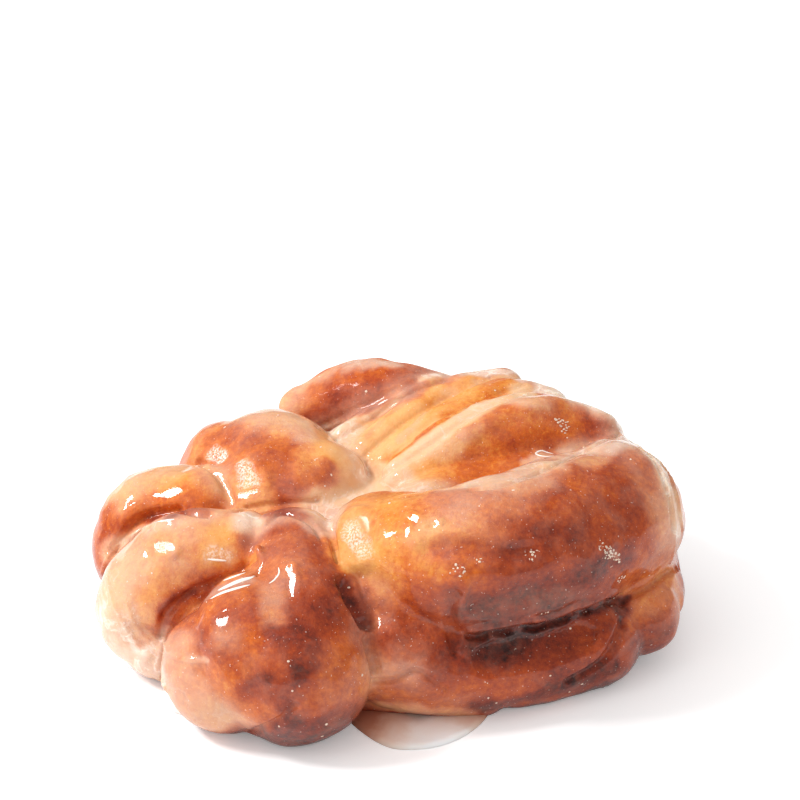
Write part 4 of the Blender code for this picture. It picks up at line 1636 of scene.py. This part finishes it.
def tree_scatter_sugar():
    """Strews crystals over an object, as densely as its attribute says."""
    sockets = [
        ("Dough", "Object", None),
        ("Density", "Float", 1.0),
        ("Smallest", "Vector", (0, 0, 0)),
        ("Largest", "Vector", (0, 0, 0)),
        ("Seed", "Int", 0),
        ("Finish", "Material", None),
    ]
    tree, given = geometry_tree("scatter_sugar", sockets)
    seed = given.outputs["Seed"]
    share = put(tree, "GeometryNodeInputNamedAttribute", {"Name": "sugar"}, data_type="FLOAT")
    strewn = {
        "Mesh": object_shape(tree, given.outputs["Dough"]),
        "Density": math_node(tree, "MULTIPLY", share, given.outputs["Density"]),
        "Seed": seed,
    }
    spread = put(tree, "GeometryNodeDistributePointsOnFaces", strewn)
    sizes = {"Min": given.outputs["Smallest"], "Max": given.outputs["Largest"], "Seed": seed}
    crystal = put(tree, "GeometryNodeMeshIcoSphere", {"Radius": 1.0, "Subdivisions": 1})
    placed = {
        "Points": spread.outputs["Points"],
        "Instance": crystal.outputs["Mesh"],
        "Rotation": spread.outputs["Rotation"],
        "Scale": put(tree, "FunctionNodeRandomValue", sizes, data_type="FLOAT_VECTOR"),
    }
    crystals = put(tree, "GeometryNodeInstanceOnPoints", placed)
    return finish_tree(tree, crystals, given.outputs["Finish"])


sugar_share(dough.data, SUGAR_CLUSTERS)
sugar = new_object("sugar_flakes", bpy.data.meshes.new("sugar_flakes"))
add_tree(
    sugar,
    tree_scatter_sugar(),
    dough=dough,
    density=SUGAR_DENSITY,
    smallest=in_metres(SUGAR_SMALLEST),
    largest=in_metres(SUGAR_LARGEST),
    seed=SUGAR_SEED,
    finish=material_white("sugar", "#EED2BC", 0.4),
)
apply_modifiers(sugar)
print("sugar:", len(sugar.data.polygons), "faces")

# %% [markdown]
# ## Floor and light
#
# A white sweep lit from all round keeps the fritter bright, and one softbox on the left gives the
# crisp white highlights and the soft shadow on the right. A second, larger one fills in.

# %% Floor and light
ROOM_LIGHT = 0.87
ROOM_REFLECTED = 0.2  # the room is dimmer in reflections, so that dark crust stays dark
FLOOR_SIDE = 6.0
FLOOR_COLOUR = (0.95, 0.95, 0.95, 1)
SHADOW_LIFT = 0.2  # brightens the floor as seen, and lights nothing
WHITE = (1, 1, 1, 1)


def area_light(name, azimuth, elevation, reach, size, power):
    """A square softbox that faces the dough, at this azimuth from the front and elevation."""
    light = bpy.data.lights.new(name, "AREA")
    light.size = size
    light.energy = power
    obj = new_object(name, light)
    direction = direction_from(azimuth, elevation)
    obj.location = AIM + direction * reach
    obj.rotation_euler = direction.to_track_quat("Z", "Y").to_euler()


def light_room():
    """A world of even light, dimmer in reflections."""
    world = bpy.data.worlds.new("studio")
    scene.world = world
    world.use_nodes = True
    tree = world.node_tree
    glossy = put(tree, "ShaderNodeLightPath").outputs["Is Glossy Ray"]
    strength = map_range(tree, glossy, 0.0, 1.0, ROOM_LIGHT, ROOM_REFLECTED)
    background = tree.nodes["Background"]
    background.inputs["Color"].default_value = WHITE
    feed(tree, background, {"Strength": strength})


def lay_floor():
    """A white sweep whose shadows are lifted a little."""
    finish = {"Base Color": FLOOR_COLOUR, "Roughness": 0.8, "Emission Color": WHITE}
    material, tree, shader = new_material("white_sweep", finish)
    seen = put(tree, "ShaderNodeLightPath").outputs["Is Camera Ray"]
    feed(tree, shader, {"Emission Strength": math_node(tree, "MULTIPLY", seen, SHADOW_LIFT)})
    half = FLOOR_SIDE / 2
    corners = [(-half, -half, 0), (half, -half, 0), (half, half, 0), (-half, half, 0)]
    mesh = bpy.data.meshes.new("floor")
    mesh.from_pydata(corners, [], [(0, 1, 2, 3)])
    mesh.materials.append(material)
    return new_object("floor", mesh)


area_light("key", KEY_AZIMUTH, KEY_ELEVATION, KEY_REACH, size=0.17, power=4.4)
area_light("softbox", -78, 54, 1.0, size=0.90, power=1.8)
light_room()
floor = lay_floor()
scene.view_settings.view_transform = "Standard"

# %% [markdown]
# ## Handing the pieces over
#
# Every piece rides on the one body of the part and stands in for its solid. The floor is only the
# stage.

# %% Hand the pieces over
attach(dough, "root")
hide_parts("fritter")
for piece in (threads, sugar, pool, *drips):
    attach(piece, "root")
    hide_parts("fritter")
print("pieces:", [piece.name for piece in (dough, threads, sugar, pool, *drips)])
